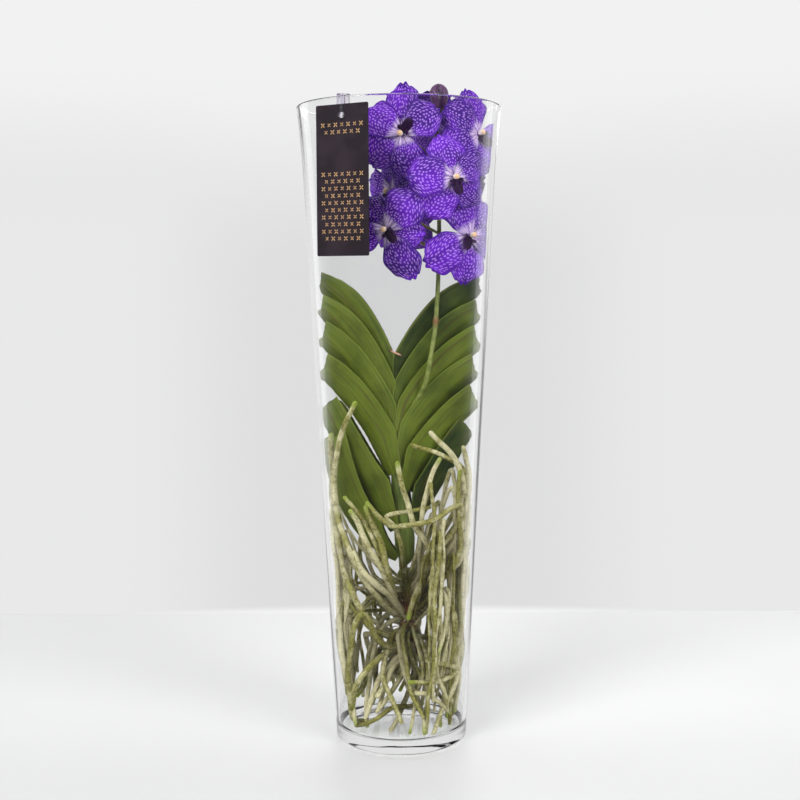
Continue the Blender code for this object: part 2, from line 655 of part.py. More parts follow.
def leaf_grid(rank, base, tip_x, tip_z, lean_base, lean_tip, half_width, drift):
    """Middle surface of one folded leaf, station by station from the shoot to the tip."""
    base_height = base * MM
    side_x = shoot_half_width(base_height) + GAP + LEAF_SEAT * LEAF_THICKNESS + LEAF_KEEL_OFFSET
    start = Vector((stem_axis(base_height).x + rank * side_x, 0.0, base_height))
    tip = Vector((tip_x, drift, tip_z)) * MM
    length = (tip - start).length
    low = math.radians(lean_base)
    high = math.radians(lean_tip)
    leave = start + Vector((rank * math.sin(low), 0.0, math.cos(low))) * length * LEAF_HANDLE
    arrive = tip - Vector((rank * math.sin(high), 0.0, math.cos(high))) * length * LEAF_HANDLE
    grid = []
    for index in range(LEAF_STATIONS + 1):
        t = index / LEAF_STATIONS
        keel = bezier(start, leave, arrive, tip, t)
        ahead = bezier(start, leave, arrive, tip, min(1.0, t + LEAF_SLOPE_STEP))
        ahead -= bezier(start, leave, arrive, tip, max(0.0, t - LEAF_SLOPE_STEP))
        ahead.normalize()
        inward = Vector((-rank * ahead.z, 0.0, rank * ahead.x)).normalized()
        opened = min(1.0, t / LEAF_FULL_FROM)
        fold = LEAF_FOLD_BASE + (LEAF_FOLD_TIP - LEAF_FOLD_BASE) * t + LEAF_FOLD_FOOT * (1.0 - opened)
        swell = LEAF_BASE_SHARE + (1.0 - LEAF_BASE_SHARE) * opened
        taper = max(0.0, t - LEAF_TAPER_FROM) / (1.0 - LEAF_TAPER_FROM)
        width = half_width * MM * swell * (1.0 - LEAF_TAPER * taper ** 2)
        row = []
        for column, notch in zip(LEAF_COLUMNS, LEAF_NOTCH_MM):
            reach = abs(column) * width * math.cos(fold)
            point = keel + inward * reach + Vector((0.0, column * width * math.sin(fold), 0.0))
            if index == LEAF_STATIONS:
                point += ahead * notch * MM
            row.append(point)
        grid.append(limit_row(row, keel, inward, rank))
    return grid


def limit_row(row, keel, inward, rank):
    """Narrow a leaf's row until it stays on its own side of the shoot, and keep it off the glass."""
    top = SHOOT_TOP + shoot_half_width(SHOOT_TOP)
    reach = (row[0] - keel).dot(inward)
    share = 1.0
    for _ in range(LEAF_LIMIT_ROUNDS):
        level = keel.z + (row[0].z - keel.z) * share
        clear = LEAF_THICKNESS / 2.0
        if level < top:
            clear = shoot_half_width(level) + GAP + LEAF_SEAT * LEAF_THICKNESS
        border = stem_axis(min(level, SHOOT_TOP)).x + rank * clear
        share = min(1.0, max((border - keel.x) / inward.x / reach, LEAF_LEAST_SHARE))
    return [inside_vase(keel + (point - keel) * share, LEAF_THICKNESS) for point in row]


def build_leaves(finish):
    """Every leaf as its own blade."""
    grids = {}
    for name, rank, *numbers in LEAVES:
        grids[name] = leaf_grid(rank, *numbers)
        solid(name, blade(grids[name], LEAF_THICKNESS), finish, 50.0)
    return grids


def build_stub(grids, finish):
    """A short dry end of an old flower stalk, lying across the two highest leaves."""
    ends = []
    for name, overhang in (("leaf_left_1", -STUB_OVERHANG), ("leaf_right_1", STUB_OVERHANG)):
        edge = grids[name][STUB_STATION][0]
        ends.append(edge + Vector((overhang, -STUB_RADII[1] - LEAF_THICKNESS, 0.0)))
    path = [ends[0], (ends[0] + ends[1]) / 2.0, ends[1]]
    return solid("dry_stub", tube(path, STUB_RADII, STUB_SIDES), finish)


def bloom_frame(centre, heading, pitch):
    """Matrix whose Z is the bloom's facing direction and whose Y is its up."""
    turn = math.radians(heading)
    lift = math.radians(pitch)
    facing = Vector((math.sin(turn) * math.cos(lift), -math.cos(turn) * math.cos(lift), math.sin(lift)))
    right = UP.cross(facing).normalized()
    up = facing.cross(right)
    frame = Matrix((right, up, facing)).transposed().to_4x4()
    frame.translation = Vector(centre) * MM
    return frame


def tepal_grid(frame, angle, length, width, lift):
    """Middle surface of one tepal in the vase's own axes, kept off the glass."""
    along = Vector((math.cos(angle), math.sin(angle), 0.0))
    across = Vector((-along.y, along.x, 0.0))
    grid = []
    for t, half in zip(TEPAL_ROWS, TEPAL_HALF_WIDTHS):
        row = []
        for column in TEPAL_COLUMNS:
            reach = length * t * (1.0 - TEPAL_CORNER * abs(column) * t)
            side = column * half * width / 2.0
            height = lift + TEPAL_CUP * math.sin(math.pi * t) - TEPAL_DROOP * t ** 3
            height += TEPAL_WAVE * math.sin(TEPAL_WAVE_TURNS * 2.0 * math.pi * t) * abs(column)
            local = along * reach + across * side + Vector((0.0, 0.0, height))
            row.append(inside_vase(frame @ local, TEPAL_MARGIN))
        grid.append(row)
    return grid


def build_bloom(name, centre, heading, pitch, roll, length, width, violet, cream):
    """One bloom: three sepals, two petals and the lip in one body, and its column."""
    frame = bloom_frame(centre, heading, pitch)
    hub = ball(2.0 * HUB_RADIUS, 2.0 * HUB_RADIUS, 2.0 * HUB_HALF_DEPTH, 5, 4)
    bmesh.ops.transform(hub, matrix=frame, verts=hub.verts[:])
    pieces = [solid(name, hub, violet)]
    for index, (offset, lift, share) in enumerate(TEPAL_LAYOUT):
        angle = math.radians(roll + offset)
        grid = tepal_grid(frame, angle, length * share * MM, width * share * MM, lift)
        pieces.append(solid("%s_tepal_%d" % (name, index), blade(grid, TEPAL_THICKNESS), violet, 60.0))
    towards_lip = frame @ Matrix.Rotation(math.radians(roll), 4, "Z")
    lip = ball(LIP_DEPTH, LIP_WIDTH, LIP_LENGTH, 6, 3)
    place = Matrix.Translation((LIP_REACH, 0.0, HUB_HALF_DEPTH)) @ Matrix.Rotation(LIP_LEAN, 4, "Y")
    bmesh.ops.transform(lip, matrix=towards_lip @ place, verts=lip.verts[:])
    pieces.append(solid(name + "_lip", lip, violet))
    fuse(name, pieces)
    column = ball(2.0 * COLUMN_RADIUS, 2.0 * COLUMN_RADIUS, COLUMN_LENGTH, 7, 4)
    seat = HUB_HALF_DEPTH + COLUMN_LENGTH / 2.0 + GAP
    place = Matrix.Translation((-COLUMN_OFFSET, 0.0, seat))
    bmesh.ops.transform(column, matrix=towards_lip @ place, verts=column.verts[:])
    solid(name + "_column", column, cream)


def build_blooms(violet, cream):
    """All the blooms of the flower stalk."""
    for name, *numbers in BLOOMS:
        build_bloom(name, *numbers, violet, cream)


def nearest_on_stalk(height, path):
    """The stalk's own point nearest to a height."""
    return min(path, key=lambda point: abs(point.z - height))


def pedicel(name, points, finish):
    """One flower's own short stalk."""
    route = smooth_path(points, STALK_STEP)
    return solid(name, tube(route, [PEDICEL_RADIUS] * len(route), PEDICEL_SIDES), finish)


def build_stalk(finish):
    """The flower stalk with a pedicel to each bloom and to the bud."""
    path = smooth_path([Vector(point) * MM for point in STALK_ROUTE], STALK_STEP)
    last = len(path) - 1
    radii = [STALK_RADIUS * (1.0 - STALK_TAPER * index / last) for index in range(last + 1)]
    pieces = [solid("stalk", tube(path, radii, STALK_SIDES), finish)]
    for name, centre, heading, pitch, *_ in BLOOMS:
        frame = bloom_frame(centre, heading, pitch)
        back = frame @ Vector((0.0, 0.0, -HUB_HALF_DEPTH - GAP - PEDICEL_RADIUS * TUBE_POINT))
        behind = frame @ Vector((0.0, 0.0, -PEDICEL_RUN))
        root = nearest_on_stalk(back.z - PEDICEL_DROP, path)
        route = [root, (root + behind * 2.0) / 3.0, behind, back]
        pieces.append(pedicel(name + "_pedicel", route, finish))
    bud_foot = Vector(BUD_CENTRE) * MM - UP * (BUD_LENGTH / 2.0 + GAP + PEDICEL_RADIUS)
    route = [path[-2], (path[-1] + bud_foot) / 2.0, bud_foot]
    pieces.append(pedicel("bud_pedicel", route, finish))
    return fuse("flower_stalk", pieces)


def build_bud(finish):
    """The closed bud, widest above its middle."""
    bm = ball(BUD_WIDTH, BUD_DEPTH, BUD_LENGTH, 8, 6)
    for vert in bm.verts:
        swell = 1.0 + BUD_SWELL * vert.co.z / (BUD_LENGTH / 2.0)
        vert.co.x *= swell
        vert.co.y *= swell
    bmesh.ops.translate(bm, vec=Vector(BUD_CENTRE) * MM, verts=bm.verts[:])
    return solid("bud", bm, finish)


def main():
    """Clear the scene and build every piece."""
    for old in list(bpy.data.objects):
        bpy.data.objects.remove(old)
    finish = {name: material(name, *values) for name, values in FINISHES.items()}
    build_vase(finish["clear_glass"])
    build_card(finish["charcoal_card"])
    build_hook(finish["clear_plastic"])
    build_stem_and_roots(finish["root_skin"])
    build_shoot(finish["leaf_green"])
    grids = build_leaves(finish["leaf_green"])
    build_stub(grids, finish["dry_brown"])
    build_stalk(finish["stalk_green"])
    build_blooms(finish["violet_tepals"], finish["cream_column"])
    build_bud(finish["bud_violet"])


main()
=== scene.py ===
"""Looks of a vanda orchid that stands in a tall clear glass vase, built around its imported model.

Lengths are in metres, and those in the tables of points are in millimetres, as their comments say.
The origin is the centre of the vase's underside, +Z is up, the front looks towards -Y and +X is to
the right seen from there.
"""
import logging
import random
from dataclasses import dataclass, field
from enum import Enum, IntEnum
from math import copysign, cos, exp, hypot, pi, radians, sin, sqrt
from typing import Callable, Dict, List, Optional, Sequence, Tuple, Union

import bmesh
import bpy
import numpy as np
from mathutils import Matrix, Vector


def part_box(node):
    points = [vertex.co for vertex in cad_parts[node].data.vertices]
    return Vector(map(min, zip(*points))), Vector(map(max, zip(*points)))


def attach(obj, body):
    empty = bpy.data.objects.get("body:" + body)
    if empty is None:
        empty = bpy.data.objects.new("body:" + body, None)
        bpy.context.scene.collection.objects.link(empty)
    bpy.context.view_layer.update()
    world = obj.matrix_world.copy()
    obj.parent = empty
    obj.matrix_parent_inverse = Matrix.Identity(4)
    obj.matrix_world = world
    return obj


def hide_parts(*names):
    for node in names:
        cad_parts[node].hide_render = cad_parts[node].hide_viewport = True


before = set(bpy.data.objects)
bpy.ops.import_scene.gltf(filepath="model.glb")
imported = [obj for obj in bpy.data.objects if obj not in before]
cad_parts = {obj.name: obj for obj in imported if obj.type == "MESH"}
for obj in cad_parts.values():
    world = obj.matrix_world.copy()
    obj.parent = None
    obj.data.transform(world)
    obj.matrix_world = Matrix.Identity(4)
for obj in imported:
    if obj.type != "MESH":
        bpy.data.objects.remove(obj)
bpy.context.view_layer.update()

LOG = logging.getLogger("orchid")

MM = 0.001
GAP = 0.0003
UP = Vector((0.0, 0.0, 1.0))
BODY = "root"

VASE_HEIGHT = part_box("vase")[1].z
RIM_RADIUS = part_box("vase")[1].x
FOOT_RADIUS = 0.0625
FLARE_START = 0.530
FLARE = 0.0025
WALL = 0.0035
FLOOR = 0.014
BORE_FACET = 0.0003

STEM_FOOT_HEIGHT = 0.077
STEM_FOOT_X = 0.0125
STEM_TOP_X = -0.005
STEM_RADIUS = 0.0042
SHOOT_START = 0.168
SHOOT_TOP = 0.316
SHOOT_HALF_WIDTH = 0.0098
SHOOT_HALF_DEPTH = 0.0056
SHOOT_PROFILE = ((0.0, 0.70), (0.15, 1.0), (0.45, 1.0), (0.75, 0.72), (1.0, 0.30))

Mesh = bpy.types.Mesh
Socket = bpy.types.NodeSocket
Feed = Union[float, Sequence[float], "Signal", None]
Feeds = Dict[Union[int, str], Feed]
Pair = Tuple[float, float]
Point = Tuple[float, float, float]
Colour = Tuple[float, float, float, float]
Route = Tuple[float, float, Sequence[Point]]


def tone(*levels: int) -> Colour:
    """Linear colour with an alpha of 1, from the bytes of an sRGB colour."""
    shares = np.array(levels) / 255.0
    return (*np.where(shares <= 0.04045, shares / 12.92, ((shares + 0.055) / 1.055) ** 2.4).tolist(), 1.0)


def outer_radius(height: float) -> float:
    """Outer radius of the glass at a height: the cone with its flare.

    Args:
        height: height above the underside.

    Returns:
        The radius.
    """
    cone = FOOT_RADIUS + (RIM_RADIUS - FLARE - FOOT_RADIUS) * height / VASE_HEIGHT
    flare = max(0.0, height - FLARE_START) / (VASE_HEIGHT - FLARE_START)
    return cone + FLARE * flare ** 2


def inside_vase(point: Vector, margin: float) -> Vector:
    """Bring a point back inside the bore where it is too near the glass.

    Args:
        point: the point to keep clear.
        margin: the least distance to the glass, for instance half a thickness.

    Returns:
        The same point, or the nearest one on its level that keeps the margin.
    """
    limit = outer_radius(min(point.z, VASE_HEIGHT)) - WALL - GAP - BORE_FACET - margin
    reach = hypot(point.x, point.y)
    if reach <= limit:
        return point
    return Vector((point.x * limit / reach, point.y * limit / reach, point.z))


def stem_axis(height: float) -> Vector:
    """Centre of the leaning stem and shoot at a height."""
    share = (height - STEM_FOOT_HEIGHT) / (SHOOT_TOP - STEM_FOOT_HEIGHT)
    return Vector((STEM_FOOT_X + (STEM_TOP_X - STEM_FOOT_X) * share, 0.0, height))


def shoot_half_width(height: float) -> float:
    """Half width of the shoot at a height, from its profile."""
    share = (height - SHOOT_START) / (SHOOT_TOP - SHOOT_START)
    return SHOOT_HALF_WIDTH * float(np.interp(share, *zip(*SHOOT_PROFILE)))


def round_end(share: float, length: float) -> float:
    """Share of the full radius along a body with rounded ends, each a share of its length."""
    return min(1.0, sqrt(max(share, 0.002) / length), sqrt(max(1.0 - share, 0.002) / length))


def smooth_path(points: Sequence[Vector], step: float) -> List[Vector]:
    """Catmull-Rom curve through points.

    Args:
        points: the points that the curve passes.
        step: the rough distance between two stations.

    Returns:
        The stations from the first point to the last.
    """
    padded = [points[0] * 2.0 - points[1], *points, points[-1] * 2.0 - points[-2]]
    path = [points[0].copy()]
    for before, start, end, after in zip(padded, padded[1:], padded[2:], padded[3:]):
        pieces = max(1, round((end - start).length / step))
        for t in (index / pieces for index in range(1, pieces + 1)):
            path.append(0.5 * (
                2.0 * start + (end - before) * t
                + (2.0 * before - 5.0 * start + 4.0 * end - after) * t ** 2
                + (3.0 * start - before - 3.0 * end + after) * t ** 3))
    return path


def arc(centre: Pair, radius: float, start: float, end: float, steps: int) -> List[Pair]:
    """Points of an arc between two angles in degrees, from the first axis towards the second."""
    angles = [radians(start + (end - start) * step / steps) for step in range(steps + 1)]
    return [(centre[0] + radius * cos(angle), centre[1] + radius * sin(angle)) for angle in angles]


def operation(kind: str, turned: bool = False) -> Callable[..., "Signal"]:
    """An operator of signals: a Math node, with the signal as its second number where it is turned."""
    return lambda signal, other=None: signal.graph.math(
        kind, *((other, signal) if turned else (signal, other)))


@dataclass(frozen=True)
class Signal:
    """What a node gives out. Sums with signals add Math nodes."""

    graph: "Graph"
    socket: Socket

    __add__ = operation("ADD")
    __sub__ = operation("SUBTRACT")
    __rsub__ = operation("SUBTRACT", True)
    __mul__ = operation("MULTIPLY")
    __truediv__ = operation("DIVIDE")
    __rtruediv__ = operation("DIVIDE", True)
    __abs__ = operation("ABSOLUTE")
    __gt__ = operation("GREATER_THAN")
    __lt__ = operation("LESS_THAN")


class Graph:
    """Adds nodes to one node tree and links them as they are added."""

    def __init__(self, tree: bpy.types.NodeTree) -> None:
        """Work on a tree of shader or geometry nodes."""
        self.tree = tree

    def node(self, kind: str, feeds: Optional[Feeds] = None, **settings: object) -> bpy.types.Node:
        """Add a node.

        Args:
            kind: the node's type name.
            feeds: a signal or an own value for each input, by name or by index; None leaves it as it is.
            **settings: the node's own properties.

        Returns:
            The new node.
        """
        made = self.tree.nodes.new(kind)
        for name, value in settings.items():
            setattr(made, name, value)
        for key, value in (feeds or {}).items():
            if isinstance(value, Signal):
                self.tree.links.new(value.socket, made.inputs[key])
            elif value is not None:
                made.inputs[key].default_value = value
        return made

    def add(self, kind: str, feeds: Optional[Feeds] = None, output: Union[int, str] = 0,
            **settings: object) -> Signal:
        """Add a node as above and give one of its outputs, by name or by index."""
        return Signal(self, self.node(kind, feeds, **settings).outputs[output])

    def math(self, operation: str, first: Feed, second: Feed = None, clamp: bool = False) -> Signal:
        """Result of a Math node, clamped to 0 and 1 on request."""
        return self.add("ShaderNodeMath", {0: first, 1: second}, operation=operation, use_clamp=clamp)

    def smooth(self, value: Feed, low: float, high: float, start: float = 0.0, end: float = 1.0) -> Signal:
        """A number turned smoothly from start at one limit to end at the other."""
        feeds = {0: value, 1: low, 2: high, 3: start, 4: end}
        return self.add("ShaderNodeMapRange", feeds, interpolation_type="SMOOTHSTEP")

    def mix(self, factor: Feed, first: Feed, second: Feed, blend: str = "MIX") -> Signal:
        """Two colours mixed, where the factor is the share of the second."""
        feeds = {0: factor, 6: first, 7: second}
        return self.add("ShaderNodeMix", feeds, 2, data_type="RGBA", blend_type=blend)

    def noise(self, vector: Feed, scale: float, detail: float = 2.0, roughness: float = 0.5) -> Signal:
        """Noise at coordinates: its scale, its number of octaves and the weight of the finer ones."""
        feeds = {"Vector": vector, "Scale": scale, "Detail": detail, "Roughness": roughness}
        return self.add("ShaderNodeTexNoise", feeds)

    def grain(self, scale: float, detail: float = 2.0, roughness: float = 0.5) -> Signal:
        """Noise at object coordinates."""
        return self.noise(self.place(), scale, detail, roughness)

    def combine(self, x: Feed, y: Feed, z: Feed = 0.0) -> Signal:
        """Vector of three numbers."""
        return self.add("ShaderNodeCombineXYZ", {0: x, 1: y, 2: z})

    def split(self, vector: Feed) -> List[Signal]:
        """The three numbers of a vector."""
        return [Signal(self, number) for number in self.node("ShaderNodeSeparateXYZ", {0: vector}).outputs]

    def scaled(self, vector: Feed, size: Feed) -> Signal:
        """A vector made longer or shorter."""
        return self.add("ShaderNodeVectorMath", {0: vector, 3: size}, operation="SCALE")

    def attribute(self, name: str) -> Signal:
        """A number that the mesh carries at its points."""
        return self.add("ShaderNodeAttribute", output="Fac", attribute_name=name)

    def ray(self, name: str) -> Signal:
        """A fact about the ray that is being followed."""
        return self.add("ShaderNodeLightPath", output=name)

    def place(self) -> Signal:
        """Object coordinates."""
        return self.add("ShaderNodeTexCoord", output="Object")

    def surface_place(self) -> List[Signal]:
        """The piece's own surface coordinates: across and along."""
        return self.split(self.add("ShaderNodeTexCoord", output="UV"))[:2]

    def bump(self, height: Feed, strength: float, distance: float) -> Signal:
        """Normal of a relief, from its height map, its strength and its height in metres."""
        return self.add("ShaderNodeBump", {"Height": height, "Strength": strength, "Distance": distance})

    def principled(self, colour: Feed, rough: Feed, normal: Feed = None, **more: Feed) -> Signal:
        """Principled shader.

        Args:
            colour: the base colour.
            rough: the roughness.
            normal: the normal, where there is a relief.
            **more: what goes into further inputs, with _ for the spaces in their names.

        Returns:
            The shader.
        """
        feeds = {name.replace("_", " "): value for name, value in more.items()}
        feeds.update({"Base Color": colour, "Roughness": rough, "Normal": normal})
        return self.add("ShaderNodeBsdfPrincipled", feeds)


@dataclass(frozen=True)
class Finish:
    """A surface finish. Each kind of finish gives its own shader."""

    name: str

    def surface(self, graph: Graph) -> Signal:
        """Shader of the finish, made of a material's nodes."""
        raise NotImplementedError

    def make(self) -> bpy.types.Material:
        """Make the material, or find it where it is already made.

        Returns:
            The material.
        """
        found = bpy.data.materials.get(self.name)
        if found:
            return found
        material = bpy.data.materials.new(self.name)
        material.use_nodes = True
        material.node_tree.nodes.clear()
        graph = Graph(material.node_tree)
        graph.node("ShaderNodeOutputMaterial", {"Surface": self.surface(graph)})
        return material


@dataclass(frozen=True)
class ClearGlass(Finish):
    """Polished clear glass that lets soft light through to what stands in it."""

    name: str = "vase glass"
    tint: Colour = (0.997, 1.0, 0.998, 1.0)
    shadow_tint: Colour = (0.97, 0.975, 0.975, 1.0)
    index: float = 1.47
    polish: float = 0.0
    ripple: float = 0.0006

    def surface(self, graph: Graph) -> Signal:
        """Shader of the finish.

        Args:
            graph: the material's nodes.

        Returns:
            The shader.
        """
        x, y, z = graph.split(graph.place())
        ripple = graph.bump(graph.noise(graph.combine(x, y, z * 0.06), 34.0, 1.0), 1.0, self.ripple)
        glass = graph.principled(self.tint, self.polish, ripple, IOR=self.index, Transmission_Weight=1.0)
        through = graph.add("ShaderNodeBsdfTransparent", {0: self.shadow_tint})
        return graph.add("ShaderNodeMixShader", {0: graph.ray("Is Shadow Ray"), 1: glass, 2: through})


@dataclass(frozen=True)
class ClearPlastic(Finish):
    """Thin clear plastic with a faint lilac tint."""

    name: str = "clear plastic"
    tint: Colour = (0.93, 0.90, 0.97, 1.0)
    index: float = 1.46

    def surface(self, graph: Graph) -> Signal:
        """Shader of the finish, made of a material's nodes."""
        haze = graph.smooth(graph.grain(300.0), 0.3, 0.7, 0.04, 0.14)
        return graph.principled(self.tint, haze, IOR=self.index, Transmission_Weight=0.96)


@dataclass(frozen=True)
class CharcoalCard(Finish):
    """Dark uncoated board with a faint fibre grain."""

    name: str = "charcoal card"
    light: Colour = tone(50, 40, 48)
    dark: Colour = tone(38, 30, 37)

    def surface(self, graph: Graph) -> Signal:
        """Shader of the finish.

        Args:
            graph: the material's nodes.

        Returns:
            The shader.
        """
        cloud = graph.grain(45.0, 3.0)
        fibre = graph.grain(2600.0)
        colour = graph.mix(graph.smooth(cloud, 0.35, 0.65), self.dark, self.light)
        return graph.principled(colour, graph.smooth(fibre, 0.2, 0.8, 0.5, 0.62),
                                graph.bump(fibre, 0.25, 0.00004), Specular_IOR_Level=0.2)


@dataclass(frozen=True)
class GoldFoil(Finish):
    """Hot-stamped foil, a soft pink gold."""

    name: str = "gold foil"
    light: Colour = tone(246, 206, 152)
    dark: Colour = tone(206, 160, 108)

    def surface(self, graph: Graph) -> Signal:
        """Shader of the finish.

        Args:
            graph: the material's nodes.

        Returns:
            The shader.
        """
        worn = graph.grain(900.0, 3.0)
        colour = graph.mix(graph.smooth(worn, 0.35, 0.7), self.dark, self.light)
        return graph.principled(colour, graph.smooth(worn, 0.2, 0.8, 0.30, 0.48),
                                graph.bump(worn, 0.2, 0.00003), Metallic=0.35)


@dataclass(frozen=True)
class RootSkin(Finish):
    """Spongy root skin: silver and olive roots, speckled brown, with green tips and painted shade in the
    middle.
    """

    name: str = "root skin"
    silver: Colour = tone(204, 198, 158)
    olive: Colour = tone(138, 136, 70)
    brown: Colour = tone(84, 70, 32)
    shadow: Colour = tone(96, 92, 62)
    tip: Colour = tone(132, 152, 40)
    speck_scale: float = 420.0
    shaded_within: float = 0.026
    lit_beyond: float = 0.052

    def surface(self, graph: Graph) -> Signal:
        """Shader of the finish.

        Args:
            graph: the material's nodes.

        Returns:
            The shader.
        """
        cloud = graph.grain(90.0, 3.0)
        speck = graph.grain(self.speck_scale, 3.0, 0.65)
        shade = graph.attribute("tint") * 0.9 + (cloud - 0.5) * 2.2
        colour = graph.mix(graph.smooth(shade, 0.1, 0.9), self.silver, self.olive)
        stain = graph.smooth(speck, 0.46, 0.70) * graph.smooth(shade, -0.2, 0.8, 0.3, 0.9)
        colour = graph.mix(stain, colour, self.brown)
        # painted shade: roots near the vase's upright axis are darkened towards the shadow colour
        x, y, _ = graph.split(graph.place())
        reach = graph.math("SQRT", x * x + y * y)
        inside = graph.smooth(reach, self.lit_beyond, self.shaded_within, 0.0, 0.55)
        colour = graph.mix(inside, colour, self.shadow, "MULTIPLY")
        colour = graph.mix(graph.attribute("green_tip"), colour, self.tip)
        return graph.principled(colour, graph.smooth(speck, 0.3, 0.7, 0.55, 0.8),
                                graph.bump(speck, 0.7, 0.0005), Specular_IOR_Level=0.25)


@dataclass(frozen=True)
class OldBark(Finish):
    """Dry brown skin of the old stem, green where its sheath is."""

    name: str = "old stem bark"
    light: Colour = tone(142, 112, 74)
    dark: Colour = tone(66, 44, 26)
    green: Colour = tone(92, 98, 40)

    def surface(self, graph: Graph) -> Signal:
        """Shader of the finish.

        Args:
            graph: the material's nodes.

        Returns:
            The shader.
        """
        x, y, z = graph.split(graph.place())
        grain = graph.noise(graph.combine(x, y, z * 0.2), 900.0, 4.0, 0.6)
        cloud = graph.grain(110.0)
        colour = graph.mix(graph.smooth(grain * cloud, 0.12, 0.36), self.dark, self.light)
        colour = graph.mix(graph.attribute("green"), colour, self.green)
        return graph.principled(colour, 0.8, graph.bump(grain, 0.7, 0.0004), Specular_IOR_Level=0.25)


@dataclass(frozen=True)
class LeafSkin(Finish):
    """Leathery ribbed leaf: parallel veins, brown streaks, paler margin, painted keel shade and highlight."""

    name: str = "leaf skin"
    deep: Colour = tone(28, 46, 8)
    fresh: Colour = tone(98, 114, 25)
    keel: Colour = tone(152, 162, 72)
    margin: Colour = tone(112, 126, 44)
    brown: Colour = tone(76, 66, 32)
    veins: float = 70.0

    def surface(self, graph: Graph) -> Signal:
        """Shader of the finish.

        Args:
            graph: the material's nodes.

        Returns:
            The shader.
        """
        across, along = graph.surface_place()
        tint = graph.attribute("tint")
        vein = graph.noise(graph.combine(across * self.veins, along * 3.0), 1.0, 3.0, 0.6)
        cloud = graph.grain(28.0, 3.0)
        lively = cloud * 0.7 + vein * 0.3 + tint * 0.3
        colour = graph.mix(graph.smooth(lively, 0.40, 0.84), self.deep, self.fresh)
        streak = graph.noise(graph.combine(across * 22.0, along * 1.4, tint * 9.0), 1.0, 3.0, 0.6)
        side = abs(across - 0.5)
        for mask, over in (
                (graph.smooth(streak, 0.50, 0.72, 0.0, 0.7), self.brown),
                (graph.smooth(streak, 0.46, 0.30, 0.0, 0.5), self.deep),
                # painted shade: a darker band on both sides of the keel
                (graph.smooth(side, 0.14, 0.03, 0.0, 0.35), self.deep),
                # painted highlight: a pale line along the keel
                (graph.smooth(side, 0.022, 0.004, 0.0, 0.75), self.keel),
                (graph.smooth(side, 0.475, 0.495, 0.0, 0.8), self.margin)):
            colour = graph.mix(mask, colour, over)
        relief = vein + graph.grain(900.0) * 0.35
        return graph.principled(colour, graph.smooth(cloud, 0.3, 0.7, 0.36, 0.50),
                                graph.bump(relief, 0.45, 0.0004), Specular_IOR_Level=0.4)


@dataclass(frozen=True)
class StalkSkin(Finish):
    """Smooth olive-green flower stalk, redder towards the pedicels and at its node."""

    name: str = "flower stalk skin"
    olive: Colour = tone(104, 118, 50)
    pale: Colour = tone(138, 148, 76)
    red: Colour = tone(128, 66, 48)

    def surface(self, graph: Graph) -> Signal:
        """Shader of the finish.

        Args:
            graph: the material's nodes.

        Returns:
            The shader.
        """
        cloud = graph.grain(160.0, 3.0)
        colour = graph.mix(graph.smooth(cloud, 0.35, 0.7), self.olive, self.pale)
        blush = graph.attribute("tint") * graph.smooth(cloud, 0.2, 0.7, 0.6, 1.0)
        fine = graph.grain(1500.0)
        return graph.principled(graph.mix(blush, colour, self.red), 0.42,
                                graph.bump(fine, 0.25, 0.0001), Specular_IOR_Level=0.45)


@dataclass(frozen=True)
class DryHusk(Finish):
    """Dry shrivelled skin, pinkish beige with brown ends."""

    name: str = "dry husk"
    beige: Colour = tone(196, 152, 124)
    brown: Colour = tone(88, 56, 40)

    def surface(self, graph: Graph) -> Signal:
        """Shader of the finish.

        Args:
            graph: the material's nodes.

        Returns:
            The shader.
        """
        grain = graph.grain(1100.0, 3.0, 0.6)
        ends = abs(graph.attribute("along") - 0.55)
        dark = graph.math("ADD", graph.smooth(ends, 0.2, 0.45), graph.smooth(grain, 0.5, 0.8, 0.0, 0.4), True)
        return graph.principled(graph.mix(dark, self.beige, self.brown), 0.75, graph.bump(grain, 0.7, 0.0002))


